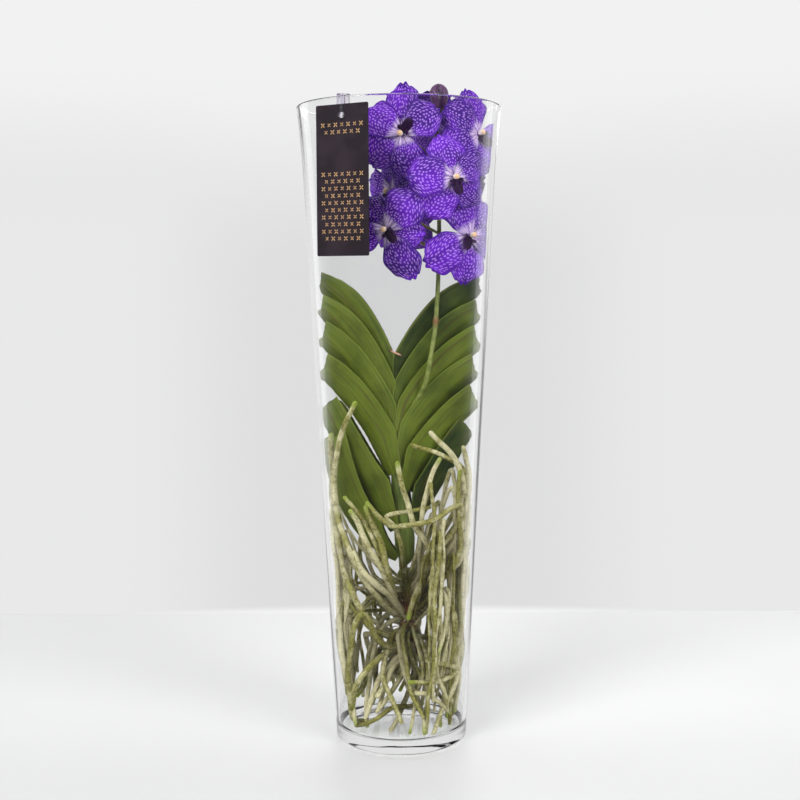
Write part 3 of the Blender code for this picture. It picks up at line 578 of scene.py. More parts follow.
@dataclass(frozen=True)
class TepalSkin(Finish):
    """Velvety violet petal with rows of lighter spots, a deeper rim and pale rays at its foot."""

    name: str = "tepal skin"
    deep: Colour = tone(60, 6, 132)
    bright: Colour = tone(98, 17, 186)
    spot: Colour = tone(186, 132, 240)
    foot: Colour = tone(240, 220, 248)
    back: Colour = tone(92, 44, 150)
    sheen: Colour = tone(190, 150, 255)
    columns: float = 12.0
    rows: float = 13.0

    def spots(self, graph: Graph, across: Signal, along: Signal) -> Signal:
        """Where the lighter spots are.

        Args:
            graph: the material's nodes.
            across: share of the way across the petal.
            along: share of the way along it.

        Returns:
            1 on a spot and 0 beside it, fading at the petal's edge.
        """
        side = abs(across - 0.5)
        cells = graph.combine(across * self.columns + graph.attribute("phase") * 37.0,
                              (along + side * side * 1.6) * self.rows)
        distance = graph.add("ShaderNodeTexVoronoi", {"Vector": cells, "Scale": 1.0, "Randomness": 0.5},
                             "Distance", voronoi_dimensions="2D", feature="F1")
        size = graph.grain(210.0, 1.0) * 0.16
        return (graph.smooth(distance + size, 0.42, 0.27) * graph.smooth(side, 0.49, 0.40)
                * graph.smooth(along, 0.985, 0.90))

    def surface(self, graph: Graph) -> Signal:
        """Shader of the finish.

        Args:
            graph: the material's nodes.

        Returns:
            The shader.
        """
        across, along = graph.surface_place()
        spots = self.spots(graph, across, along)
        cloud = graph.grain(46.0) + graph.attribute("phase") * 0.2
        body = graph.mix(graph.smooth(cloud, 0.42, 0.72), self.deep, self.bright)
        body = graph.mix(graph.smooth(abs(across - 0.5), 0.36, 0.5, 0.0, 0.5), body, self.deep)
        colour = graph.mix(spots * 0.86, body, self.spot)
        rays = graph.smooth(graph.noise(graph.combine(across * 26.0, along * 2.0), 1.0, 1.0), 0.42, 0.62)
        foot = graph.smooth(along, 0.27, 0.12) * graph.math("ADD", rays, 0.3, True)
        colour = graph.mix(foot, colour, self.foot)
        rear = graph.mix(spots * 0.35, self.back, self.spot)
        colour = graph.mix(graph.attribute("back") * 0.75, colour, rear)
        relief = spots + graph.grain(1500.0) * 0.5
        return graph.principled(
            colour, 0.55, graph.bump(relief, 0.45, 0.00035), Specular_IOR_Level=0.25,
            Sheen_Weight=0.12, Sheen_Roughness=0.4, Sheen_Tint=self.sheen,
            Subsurface_Weight=0.05, Subsurface_Radius=(0.002, 0.001, 0.004), Subsurface_Scale=0.5)


@dataclass(frozen=True)
class LipSkin(Finish):
    """Waxy, nearly black violet lip with a lighter rim."""

    name: str = "lip skin"
    dark: Colour = tone(36, 2, 50)
    rim: Colour = tone(66, 10, 96)

    def surface(self, graph: Graph) -> Signal:
        """Shader of the finish.

        Args:
            graph: the material's nodes.

        Returns:
            The shader.
        """
        across, along = graph.surface_place()
        fine = graph.grain(1300.0)
        side, end = graph.smooth(abs(across - 0.5), 0.36, 0.5), graph.smooth(along, 0.86, 1.0)
        edge = graph.math("MAXIMUM", side, end)
        colour = graph.mix(edge * graph.smooth(fine, 0.2, 0.7, 0.4, 0.9), self.dark, self.rim)
        return graph.principled(colour, 0.4, graph.bump(fine, 0.3, 0.00012), Specular_IOR_Level=0.15)


@dataclass(frozen=True)
class ColumnWax(Finish):
    """Waxy cream column with a tan cap and violet dust at its foot."""

    name: str = "column wax"
    cream: Colour = tone(246, 232, 216)
    cap: Colour = tone(234, 194, 152)
    foot: Colour = tone(196, 160, 224)

    def surface(self, graph: Graph) -> Signal:
        """Shader of the finish.

        Args:
            graph: the material's nodes.

        Returns:
            The shader.
        """
        along = graph.attribute("along")
        cloud = graph.grain(700.0)
        colour = graph.mix(graph.smooth(along, 0.74, 0.92), self.cream, self.cap)
        colour = graph.mix(graph.smooth(along, 0.22, 0.06), colour, self.foot)
        colour = graph.mix(graph.smooth(cloud, 0.5, 0.8, 0.0, 0.3), colour, self.cap)
        return graph.principled(
            colour, 0.38, graph.bump(cloud, 0.3, 0.00015), Subsurface_Weight=0.1,
            Subsurface_Radius=(0.002, 0.0012, 0.0008), Subsurface_Scale=0.5)


@dataclass(frozen=True)
class BudSkin(Finish):
    """Smooth brown-violet bud, greener at its foot, with a painted grey-violet highlight on its ridges."""

    name: str = "bud skin"
    violet: Colour = tone(58, 18, 66)
    ridge_highlight: Colour = tone(106, 66, 112)
    green: Colour = tone(104, 96, 62)

    def surface(self, graph: Graph) -> Signal:
        """Shader of the finish.

        Args:
            graph: the material's nodes.

        Returns:
            The shader.
        """
        cloud = graph.grain(260.0, 3.0)
        # painted highlight: grey-violet on the ridges between the seams, broken by noise
        pale = graph.smooth(graph.attribute("tint"), 0.15, 0.9) * graph.smooth(cloud, 0.3, 0.7, 0.4, 1.0)
        colour = graph.mix(pale, self.violet, self.ridge_highlight)
        colour = graph.mix(graph.smooth(graph.attribute("along"), 0.24, 0.04), colour, self.green)
        fine = graph.grain(1600.0)
        return graph.principled(colour, 0.42, graph.bump(fine, 0.3, 0.00012),
                                Sheen_Weight=0.2, Sheen_Roughness=0.4)


@dataclass(frozen=True)
class StudioPaint(Finish):
    """Pale floor of a photo studio, which glass and leaves don't mirror, with painted shade towards the
    front.
    """

    name: str = "studio floor"
    far: Colour = (0.93, 0.932, 0.938, 1.0)
    near: Colour = (0.845, 0.847, 0.852, 1.0)

    def surface(self, graph: Graph) -> Signal:
        """Shader of the finish.

        Args:
            graph: the material's nodes.

        Returns:
            The shader.
        """
        cloud = graph.grain(3.0)
        depth = graph.split(graph.place())[1]
        # painted shade: the floor is darker in front of the vase than behind it
        colour = graph.mix(graph.smooth(depth, 0.12, -0.14), self.far, self.near)
        paint = graph.principled(colour, graph.smooth(cloud, 0.3, 0.7, 0.42, 0.5), Specular_IOR_Level=0.35)
        clear = graph.add("ShaderNodeBsdfTransparent")
        return graph.add("ShaderNodeMixShader", {0: graph.ray("Glossy Depth") > 0.5, 1: paint, 2: clear})


@dataclass
class Patch:
    """Points and faces of a mesh, their surface coordinates and the numbers that they carry."""

    points: np.ndarray
    faces: List[Sequence[int]]
    place: np.ndarray
    values: Dict[str, np.ndarray] = field(default_factory=dict)

    @staticmethod
    def join(patches: Sequence["Patch"]) -> "Patch":
        """Put patches side by side in one.

        Args:
            patches: the patches, which carry the same numbers.

        Returns:
            The joined patch.
        """
        faces: List[Sequence[int]] = []
        offset = 0
        for patch in patches:
            faces += [[corner + offset for corner in face] for face in patch.faces]
            offset += len(patch.points)
        points = np.concatenate([patch.points for patch in patches])
        place = np.concatenate([patch.place for patch in patches])
        return Patch(points, faces, place, {name: np.concatenate([patch.values[name] for patch in patches])
                                            for name in patches[0].values})

    def mesh(self, name: str) -> Mesh:
        """Make a Blender mesh.

        Args:
            name: the mesh's name.

        Returns:
            The mesh with its surface coordinates and its numbers.
        """
        mesh = bpy.data.meshes.new(name)
        mesh.from_pydata(self.points.tolist(), [], self.faces)
        corners = np.empty(len(mesh.loops), np.int32)
        mesh.loops.foreach_get("vertex_index", corners)
        layer = mesh.uv_layers.new(name="surface")
        layer.data.foreach_set("uv", self.place[corners].astype(np.float32).ravel())
        carry(mesh, self.values)
        mesh.validate()
        return mesh


def carry(mesh: Mesh, values: Dict[str, Sequence]) -> None:
    """Let a mesh's points carry numbers or vectors.

    Args:
        mesh: the mesh.
        values: what each point carries, by name.
    """
    for label, numbers in values.items():
        table = np.array(numbers, np.float32)
        kind, key = ("FLOAT_VECTOR", "vector") if table.ndim == 2 else ("FLOAT", "value")
        mesh.attributes.new(label, kind, "POINT").data.foreach_set(key, table.ravel())


def line_mesh(name: str, lines: Sequence[Sequence[Vector]], values: Dict[str, Sequence]) -> Mesh:
    """Lines as a mesh of edges.

    Args:
        name: the mesh's name.
        lines: the points of each line.
        values: what all points carry, line after line.

    Returns:
        The mesh.
    """
    points: List[Vector] = []
    edges = []
    for line in lines:
        start = len(points)
        points += line
        edges += [(index, index + 1) for index in range(start, len(points) - 1)]
    mesh = bpy.data.meshes.new(name)
    mesh.from_pydata([tuple(point) for point in points], edges, [])
    carry(mesh, values)
    return mesh


def lattice(rows: int, columns: int, closed: bool) -> np.ndarray:
    """Share across and along of rows of points, where a closed row runs round to its own start."""
    across = np.linspace(0.0, 1.0, columns, endpoint=not closed)
    return np.stack([np.tile(across, rows), np.repeat(np.linspace(0.0, 1.0, rows), columns)], axis=1)


def closed_sheet(grid: np.ndarray, half: np.ndarray, values: Dict[str, float]) -> Patch:
    """Close a thin sheet round a grid of middle points.

    Args:
        grid: the middle points, rows by columns by 3. Rows run along the sheet.
        half: half the thickness at each point, rows by columns.
        values: numbers that every point of the sheet carries; the number named back is set here.

    Returns:
        The sheet, with its front on the side of across x along.
    """
    rows, columns = grid.shape[:2]
    count = rows * columns
    normal = np.cross(np.gradient(grid, axis=1), np.gradient(grid, axis=0))
    lift = normal / np.maximum(np.linalg.norm(normal, axis=-1, keepdims=True), 1e-12) * half[..., None]
    points = np.concatenate([(grid + lift).reshape(-1, 3), (grid - lift).reshape(-1, 3)])
    index = np.arange(count).reshape(rows, columns)
    front = np.stack([index[:-1, :-1], index[:-1, 1:], index[1:, 1:], index[1:, :-1]], axis=-1).reshape(-1, 4)
    faces = np.stack([front, front[:, ::-1] + count], axis=1).reshape(-1, 4).tolist()
    border = np.concatenate([index[0], index[1:, -1], index[-1, -2::-1], index[-2:0:-1, 0]])
    onward = np.roll(border, -1)
    faces += np.stack([border, border + count, onward + count, onward], axis=1).tolist()
    place = lattice(rows, columns, False)
    carried = {name: np.full(2 * count, number) for name, number in values.items()}
    if "back" in carried:
        carried["back"][count:] = 1.0
    return Patch(points, faces, np.concatenate([place, place]), carried)


def lofted(rings: np.ndarray, values: Dict[str, np.ndarray]) -> Patch:
    """Close a body through rings of points, with a fan at each end.

    Args:
        rings: stations by sides by 3, each ring anticlockwise seen from the far end.
        values: numbers by station and side.

    Returns:
        The closed body.
    """
    stations, sides = rings.shape[:2]
    count = stations * sides
    points = np.concatenate([rings.reshape(-1, 3), rings[0].mean(axis=0)[None], rings[-1].mean(axis=0)[None]])
    index = np.arange(count).reshape(stations, sides)
    after = np.roll(index, -1, axis=1)
    faces = np.stack([index[:-1], after[:-1], after[1:], index[1:]], axis=-1).reshape(-1, 4).tolist()
    for near, near_next, far, far_next in zip(index[0], after[0], index[-1], after[-1]):
        faces += [(near_next, near, count), (far, far_next, count + 1)]
    place = np.concatenate([lattice(stations, sides, True), [[0.5, 0.0], [0.5, 1.0]]])
    carried = {name: np.concatenate([numbers.ravel(), [numbers[0].mean(), numbers[-1].mean()]])
               for name, numbers in values.items()}
    return Patch(points, faces, place, carried)


def rounded(stations: int, sides: int, names: Sequence[str],
            rule: Callable[[float, float], Sequence[float]]) -> Patch:
    """Close a body round an axis by a rule for its points.

    Args:
        stations: the number of steps along the axis.
        sides: the number of points round it.
        names: the names of the numbers that the points carry.
        rule: gives x, y, z and those numbers at a share of the way and an angle.

    Returns:
        The closed body.
    """
    table = np.array([[rule(station / stations, 2.0 * pi * side / sides) for side in range(sides)]
                      for station in range(stations + 1)])
    return lofted(table[..., :3], {name: table[..., 3 + index] for index, name in enumerate(names)})


def swept(path: Sequence[Vector], radii: Sequence[float], sides: int, squash: float = 1.0) -> np.ndarray:
    """Rings round a path, kept from twisting.

    Args:
        path: the stations.
        radii: the radius at each station.
        sides: the number of points in a ring.
        squash: depth of the section as a share of its width.

    Returns:
        The rings, stations by sides by 3.
    """
    rings = []
    across = None
    angles = [2.0 * pi * side / sides for side in range(sides)]
    for index, (point, radius) in enumerate(zip(path, radii)):
        ahead = (path[min(index + 1, len(path) - 1)] - path[max(index - 1, 0)]).normalized()
        if across is None:
            across = ahead.cross(Vector((0.0, 1.0, 0.0)) if abs(ahead.y) < 0.9 else UP)
        across = (across - ahead * across.dot(ahead)).normalized()
        other = ahead.cross(across)
        rings.append([point + (across * cos(angle) + other * sin(angle) * squash) * radius
                      for angle in angles])
    return np.array(rings)


def put(name: str, data: bpy.types.ID) -> bpy.types.Object:
    """Put an object in the scene.

    Args:
        name: the object's name.
        data: its mesh, light or camera.

    Returns:
        The object.
    """
    made = bpy.data.objects.new(name, data)
    bpy.context.scene.collection.objects.link(made)
    return made


class TreeInput(Enum):
    """Kinds of named inputs of a geometry node tree."""

    NUMBER = "NodeSocketFloat"
    COUNT = "NodeSocketInt"
    FINISH = "NodeSocketMaterial"


class ShapeTree:
    """A geometry node tree with named inputs."""

    def __init__(self, name: str, inputs: Dict[str, TreeInput]) -> None:
        """Start the tree.

        Args:
            name: the tree's name.
            inputs: the kind of each named input.
        """
        self.tree = bpy.data.node_groups.new(name, "GeometryNodeTree")
        self.graph = Graph(self.tree)
        face = self.tree.interface
        face.new_socket("Geometry", in_out="INPUT", socket_type="NodeSocketGeometry")
        for label, kind in {**inputs, "Finish": TreeInput.FINISH}.items():
            face.new_socket(label, in_out="INPUT", socket_type=kind.value)
        face.new_socket("Geometry", in_out="OUTPUT", socket_type="NodeSocketGeometry")
        self.inputs = self.graph.node("NodeGroupInput").outputs

    def given(self, name: str = "Geometry") -> Signal:
        """What comes in by a name."""
        return Signal(self.graph, self.inputs[name])

    def close(self, geometry: Signal) -> "ShapeTree":
        """End the tree: instances made real, shaded smooth and given the finish.

        Args:
            geometry: the shape.

        Returns:
            The tree itself.
        """
        real = self.graph.add("GeometryNodeRealizeInstances", {0: geometry})
        smooth = self.graph.add("GeometryNodeSetShadeSmooth", {0: real})
        feeds = {"Geometry": smooth, "Material": self.given("Finish")}
        self.graph.node("NodeGroupOutput", {0: self.graph.add("GeometryNodeSetMaterial", feeds)})
        return self


@dataclass(frozen=True)
class Piece:
    """A finished piece of the object: it stands in place and rides on the object's body.

    An edge stays sharp past the angle in degrees.
    """

    name: str
    finish: Finish
    slot: str
    nodes: Tuple[str, ...] = ()
    sharp: float = 60.0

    def settle(self, made: bpy.types.Object) -> None:
        """Smooth the piece, attach it to the object's body and hide the imported nodes that it replaces.

        Args:
            made: the piece's object.
        """
        made.data.shade_smooth()
        made.data.set_sharp_from_angle(angle=radians(self.sharp))
        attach(made, BODY)
        if self.nodes:
            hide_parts(*self.nodes)
        LOG.info("%s: %d faces", made.name, len(made.data.polygons))

    def stand(self, shape: Union[Patch, Mesh]) -> None:
        """Put a shape in the scene as this piece.

        Args:
            shape: a patch or a mesh, in place.
        """
        mesh = shape.mesh(self.name) if isinstance(shape, Patch) else shape
        mesh.materials.append(self.finish.make())
        self.settle(put(self.name, mesh))

    def grow(self, shape: ShapeTree, source: Mesh, numbers: Dict[str, float],
             turn_outwards: bool = True) -> None:
        """Run a tree on a mesh once and keep the result, a plain mesh, as this piece.

        Args:
            shape: the tree.
            source: the mesh that goes in.
            numbers: the value of each named input.
            turn_outwards: whether the result's faces are turned outwards afterwards.
        """
        made = put(self.name, source)
        modifier = made.modifiers.new(self.name + " tree", "NODES")
        modifier.node_group = shape.tree
        values = {**numbers, "Finish": self.finish.make()}
        for item in shape.tree.interface.items_tree:
            if item.in_out == "INPUT" and item.name in values:
                modifier[item.identifier] = values[item.name]
        bpy.context.view_layer.update()
        evaluated = made.evaluated_get(bpy.context.evaluated_depsgraph_get())
        mesh = bpy.data.meshes.new_from_object(evaluated)
        made.modifiers.remove(modifier)
        made.data = mesh
        mesh.name = self.name
        if turn_outwards:
            bm = bmesh.new()
            bm.from_mesh(mesh)
            bmesh.ops.recalc_face_normals(bm, faces=bm.faces[:])
            bm.to_mesh(mesh)
            bm.free()
        self.settle(made)


@dataclass(frozen=True)
class Strand:
    """How lines are thickened into knobbly strands.

    The lines carry the number girth, their radius. The strands carry the number along as well.
    """

    sides: int
    knob_size: float
    knob_depth: float
    grain_depth: float = 0.0
    grain_scale: float = 420.0

    def tree(self) -> ShapeTree:
        """Tree that thickens the lines.

        Returns:
            The tree.
        """
        shape = ShapeTree("strands", {"Sides": TreeInput.COUNT, "Knob Size": TreeInput.NUMBER,
                                      "Knob Depth": TreeInput.NUMBER, "Grain Depth": TreeInput.NUMBER})
        graph = shape.graph
        line = graph.add("GeometryNodeMeshToCurve", {0: shape.given()})
        share = graph.add("GeometryNodeSplineParameter", output="Factor")
        feeds = {"Geometry": line, "Name": "along", "Value": share}
        kept = graph.add("GeometryNodeStoreNamedAttribute", feeds, data_type="FLOAT", domain="POINT")
        girth = graph.add("GeometryNodeInputNamedAttribute", {"Name": "girth"}, data_type="FLOAT")
        spot = graph.add("GeometryNodeInputPosition")
        knob = graph.noise(graph.scaled(spot, 1.0 / shape.given("Knob Size")), 1.0, 2.0) - 0.5
        feeds = {"Resolution": shape.given("Sides"), "Radius": 1.0}
        profile = graph.add("GeometryNodeCurvePrimitiveCircle", feeds)
        body = graph.add("GeometryNodeCurveToMesh", {
            "Curve": kept, "Profile Curve": profile, "Fill Caps": True,
            "Scale": girth * (knob * shape.given("Knob Depth") + 1.0)})
        grain = (graph.noise(spot, self.grain_scale, 2.0) - 0.5) * shape.given("Grain Depth")
        push = graph.scaled(graph.add("GeometryNodeInputNormal"), grain)
        return shape.close(graph.add("GeometryNodeSetPosition", {"Geometry": body, "Offset": push}))

    def grow(self, piece: Piece, lines: Sequence[Sequence[Vector]], values: Dict[str, Sequence]) -> None:
        """Make a piece of strands.

        Args:
            piece: the piece.
            lines: the points of each line.
            values: the numbers of all points, line after line.
        """
        numbers = {"Sides": self.sides, "Knob Size": self.knob_size, "Knob Depth": self.knob_depth,
                   "Grain Depth": self.grain_depth}
        piece.grow(self.tree(), line_mesh(piece.name + "_lines", lines, values), numbers)


@dataclass
class Vase:
    """The tall clear glass vase: a cone that flares a little at the rim, with a thick floor."""

    foot_corner: float = 0.0045
    floor_corner: float = 0.006
    foot_hollow: float = 0.0016
    hollow_edge: float = 0.72
    ring_edge: float = 0.90
    support: float = 0.0004
    merge_within: float = 2e-6
    sides: int = 144
    arc_steps: int = 8
    flare_steps: int = 8
    finish: Finish = ClearGlass()

    def profile(self) -> List[Pair]:
        """Radius and height of each point of the glass, from the underside's centre to the floor's.

        Returns:
            The points of the profile.
        """
        lip = WALL / 2.0
        heights = [FLARE_START + (VASE_HEIGHT - FLARE_START) * step / self.flare_steps
                   for step in range(self.flare_steps)]
        heights.append(VASE_HEIGHT - lip - self.support)
        low = FLOOR + self.floor_corner + self.support
        foot = outer_radius(self.foot_corner) - self.foot_corner
        floor = outer_radius(FLOOR + self.floor_corner) - WALL - self.floor_corner
        return [
            (0.0, self.foot_hollow), (foot * self.hollow_edge, self.foot_hollow),
            (foot * self.ring_edge, 0.0),
            *arc((foot, self.foot_corner), self.foot_corner, -90.0, 0.0, self.arc_steps),
            *((outer_radius(height), height) for height in [self.foot_corner + self.support] + heights),
            *arc((RIM_RADIUS - lip, VASE_HEIGHT - lip), lip, 0.0, 180.0, self.arc_steps),
            *((outer_radius(height) - WALL, height) for height in heights[::-1] + [low]),
            *arc((floor, FLOOR + self.floor_corner), self.floor_corner, 0.0, -90.0, self.arc_steps),
            (0.0, FLOOR)]

    def tree(self) -> ShapeTree:
        """Tree that turns a line of points, which starts and ends on the upright axis, round that axis.

        Returns:
            The tree.
        """
        shape = ShapeTree("turned shape", {"Sides": TreeInput.COUNT, "Profile Points": TreeInput.COUNT})
        graph = shape.graph
        around = shape.given("Sides") + 1.0
        sheet = graph.add("GeometryNodeMeshGrid", {
            "Size X": 1.0, "Size Y": 1.0, "Vertices X": shape.given("Profile Points"), "Vertices Y": around})
        index = graph.add("GeometryNodeInputIndex")
        station = graph.math("FLOOR", (index + 0.5) / around)
        angle = (index - station * around) * (2.0 * pi) / shape.given("Sides")
        sample = graph.add("GeometryNodeSampleIndex", {
            "Geometry": shape.given(), "Value": graph.add("GeometryNodeInputPosition"), "Index": station},
            data_type="FLOAT_VECTOR", domain="POINT")
        radius, _, height = graph.split(sample)
        spot = graph.combine(radius * graph.math("COSINE", angle), radius * graph.math("SINE", angle), height)
        placed = graph.add("GeometryNodeSetPosition", {"Geometry": sheet, "Position": spot})
        return shape.close(graph.add("GeometryNodeMergeByDistance",
                                     {"Geometry": placed, "Distance": self.merge_within}))

    def build(self) -> None:
        """Turn the profile and hand the vase over."""
        line = [Vector((radius, 0.0, height)) for radius, height in self.profile()]
        numbers = {"Sides": self.sides, "Profile Points": len(line)}
        piece = Piece("glass_vase", self.finish, "clear_glass", ("vase",))
        piece.grow(self.tree(), line_mesh("vase_profile", [line], {}), numbers)


@dataclass
class HangingCard:
    """The charcoal card on the rim, with rounded corners, a punched hole and bands of gold motifs."""

    width: float = 0.054
    height: float = 0.131
    thickness: float = 0.0008
    top: float = 0.5925
    corner: float = 0.0015
    azimuth: float = radians(-31.0)
    hole_radius: float = 0.0025
    hole_drop: float = 0.0095
    corner_steps: int = 4
    hole_steps: int = 32
    motif_pitch: float = 0.0066
    row_pitch: float = 0.0062
    motif_length: float = 0.0023
    motif_width: float = 0.00095
    petal_reach: float = 0.62
    petal_sides: int = 7
    small_motif: float = 0.82
    foil: float = 0.00006
    margin: float = 0.0040
    board: Finish = CharcoalCard()
    print_finish: Finish = GoldFoil()
    hook_finish: Finish = ClearPlastic()
    # Bands of rows: the first row's drop from the top edge, and the number of rows
    bands: Tuple[Tuple[float, int], ...] = ((0.0175, 2), (0.0600, 10))

    def outward(self) -> Vector:
        """Direction out of the card's face."""
        return Vector((sin(self.azimuth), -cos(self.azimuth), 0.0))

    def spot(self, side: float, drop: float, lift: float = 0.0) -> Vector:
        """A point of the card.

        Args:
            side: distance from the centre line along the width.
            drop: distance below the top edge.
            lift: distance out of the middle of the thickness.

        Returns:
            The point.
        """
        outward = self.outward()
        middle = outward * (RIM_RADIUS + GAP + self.thickness / 2.0 + lift)
        return middle + Vector((-outward.y, outward.x, 0.0)) * side + UP * (self.top - drop)

    def outline(self) -> List[Pair]:
        """Side and drop of the points round the card's edge, from the right side anticlockwise.

        Returns:
            The points.
        """
        side, low = self.width / 2.0 - self.corner, self.height - self.corner
        corners = ((side, self.corner), (-side, self.corner), (-side, low), (side, low))
        return [point for index, centre in enumerate(corners)
                for point in arc(centre, self.corner, -90.0 * index, -90.0 * (index + 1), self.corner_steps)]

    def build_board(self) -> None:
        """The board with its hole."""
        bm = bmesh.new()
        hole = arc((0.0, self.hole_drop), self.hole_radius, 0.0, -360.0, self.hole_steps)[:-1]
        for line in (self.outline(), hole):
            ring = [bm.verts.new(self.spot(side, drop, self.thickness / 2.0)) for side, drop in line]
            for start, end in zip(ring, ring[1:] + ring[:1]):
                bm.edges.new((start, end))
        bmesh.ops.triangle_fill(bm, use_beauty=True, use_dissolve=False, edges=bm.edges[:])
        bmesh.ops.recalc_face_normals(bm, faces=bm.faces[:])
        grown = bmesh.ops.extrude_face_region(bm, geom=bm.faces[:])
        moved = [item for item in grown["geom"] if isinstance(item, bmesh.types.BMVert)]
        bmesh.ops.translate(bm, vec=self.outward() * -self.thickness, verts=moved)
        bmesh.ops.recalc_face_normals(bm, faces=bm.faces[:])
        mesh = bpy.data.meshes.new("charcoal_board")
        bm.to_mesh(mesh)
        bm.free()
        Piece("charcoal_board", self.board, "charcoal_card", ("hanging_card",), 30.0).stand(mesh)

    def motif_tree(self) -> ShapeTree:
        """Tree that lays a small four-petalled flower at each point, across the point's facing.

        The points carry the vector facing and the number size.

        Returns:
            The tree.
        """
        shape = ShapeTree("foil motifs", {"Petal Length": TreeInput.NUMBER, "Petal Width": TreeInput.NUMBER,
                                          "Foil Thickness": TreeInput.NUMBER})
        graph = shape.graph
        length, width = shape.given("Petal Length"), shape.given("Petal Width")
        feeds = {"Resolution": self.petal_sides, "Radius": 0.5}
        circle = graph.add("GeometryNodeCurvePrimitiveCircle", feeds)
        flat = graph.add("GeometryNodeFillCurve", {"Curve": circle})
        flower = graph.node("GeometryNodeJoinGeometry")
        for turn in (pi / 4.0 + pi / 2.0 * quarter for quarter in range(4)):
            reach = length * self.petal_reach
            petal = graph.add("GeometryNodeTransform", {
                "Geometry": flat, "Translation": graph.combine(reach * cos(turn), reach * sin(turn)),
                "Rotation": (0.0, 0.0, turn), "Scale": graph.combine(length, width, 1.0)})
            graph.tree.links.new(petal.socket, flower.inputs[0])
        solid = graph.add("GeometryNodeExtrudeMesh", {
            "Mesh": Signal(graph, flower.outputs[0]), "Offset Scale": shape.given("Foil Thickness"),
            "Individual": False})
        facing = graph.add("GeometryNodeInputNamedAttribute", {"Name": "facing"}, data_type="FLOAT_VECTOR")
        turned = graph.add("FunctionNodeAxesToRotation", {"Primary Axis": facing, "Secondary Axis": UP},
                           primary_axis="Z", secondary_axis="Y")
        size = graph.add("GeometryNodeInputNamedAttribute", {"Name": "size"}, data_type="FLOAT")
        return shape.close(graph.add("GeometryNodeInstanceOnPoints", {
            "Points": shape.given(), "Instance": solid, "Rotation": turned,
            "Scale": graph.combine(size, size, 1.0)}))

    def build_print(self) -> None:
        """The gold motifs, in rows that step sideways by half a pitch."""
        points, sizes = [], []
        lift = self.thickness / 2.0 - self.foil / 4.0
        for first, rows in self.bands:
            for row in range(rows):
                count = int((self.width - 2.0 * self.margin) / self.motif_pitch) - row % 2
                for column in range(count + 1):
                    side = (column - count / 2.0) * self.motif_pitch
                    points.append([self.spot(side, first + row * self.row_pitch, lift)])
                    sizes.append(self.small_motif if (column + row) % 2 else 1.0)
        source = line_mesh("motif_points", points, {"facing": [self.outward()] * len(points), "size": sizes})
        numbers = {"Petal Length": self.motif_length, "Petal Width": self.motif_width,
                   "Foil Thickness": self.foil}
        piece = Piece("gold_motifs", self.print_finish, "charcoal_card")
        piece.grow(self.motif_tree(), source, numbers, turn_outwards=False)

    def dress_hook(self) -> None:
        """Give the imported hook, whose shape is right, its clear plastic."""
        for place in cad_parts["card_hook"].material_slots:
            place.material = self.hook_finish.make()
        LOG.info("card_hook: dressed in %s", self.hook_finish.name)

    def build(self) -> None:
        """Build the board and its print, and dress the hook."""
        self.build_board()
        self.build_print()
        self.dress_hook()


class Rank(IntEnum):
    """The two ranks of leaves, by the sign of their side."""

    LEFT = -1
    RIGHT = 1


@dataclass
class LeafSpec:
    """Sizes of one leaf; lengths in millimetres, leans in degrees from upright."""

    rank: Rank
    number: int
    base: float
    tip_x: float
    tip_z: float
    lean_base: float
    lean_tip: float
    half_width: float
    drift: float
    taper: float = 0.14
    base_share: float = 0.6

    def name(self) -> str:
        """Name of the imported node."""
        return "leaf_%s_%d" % (self.rank.name.lower(), self.number)


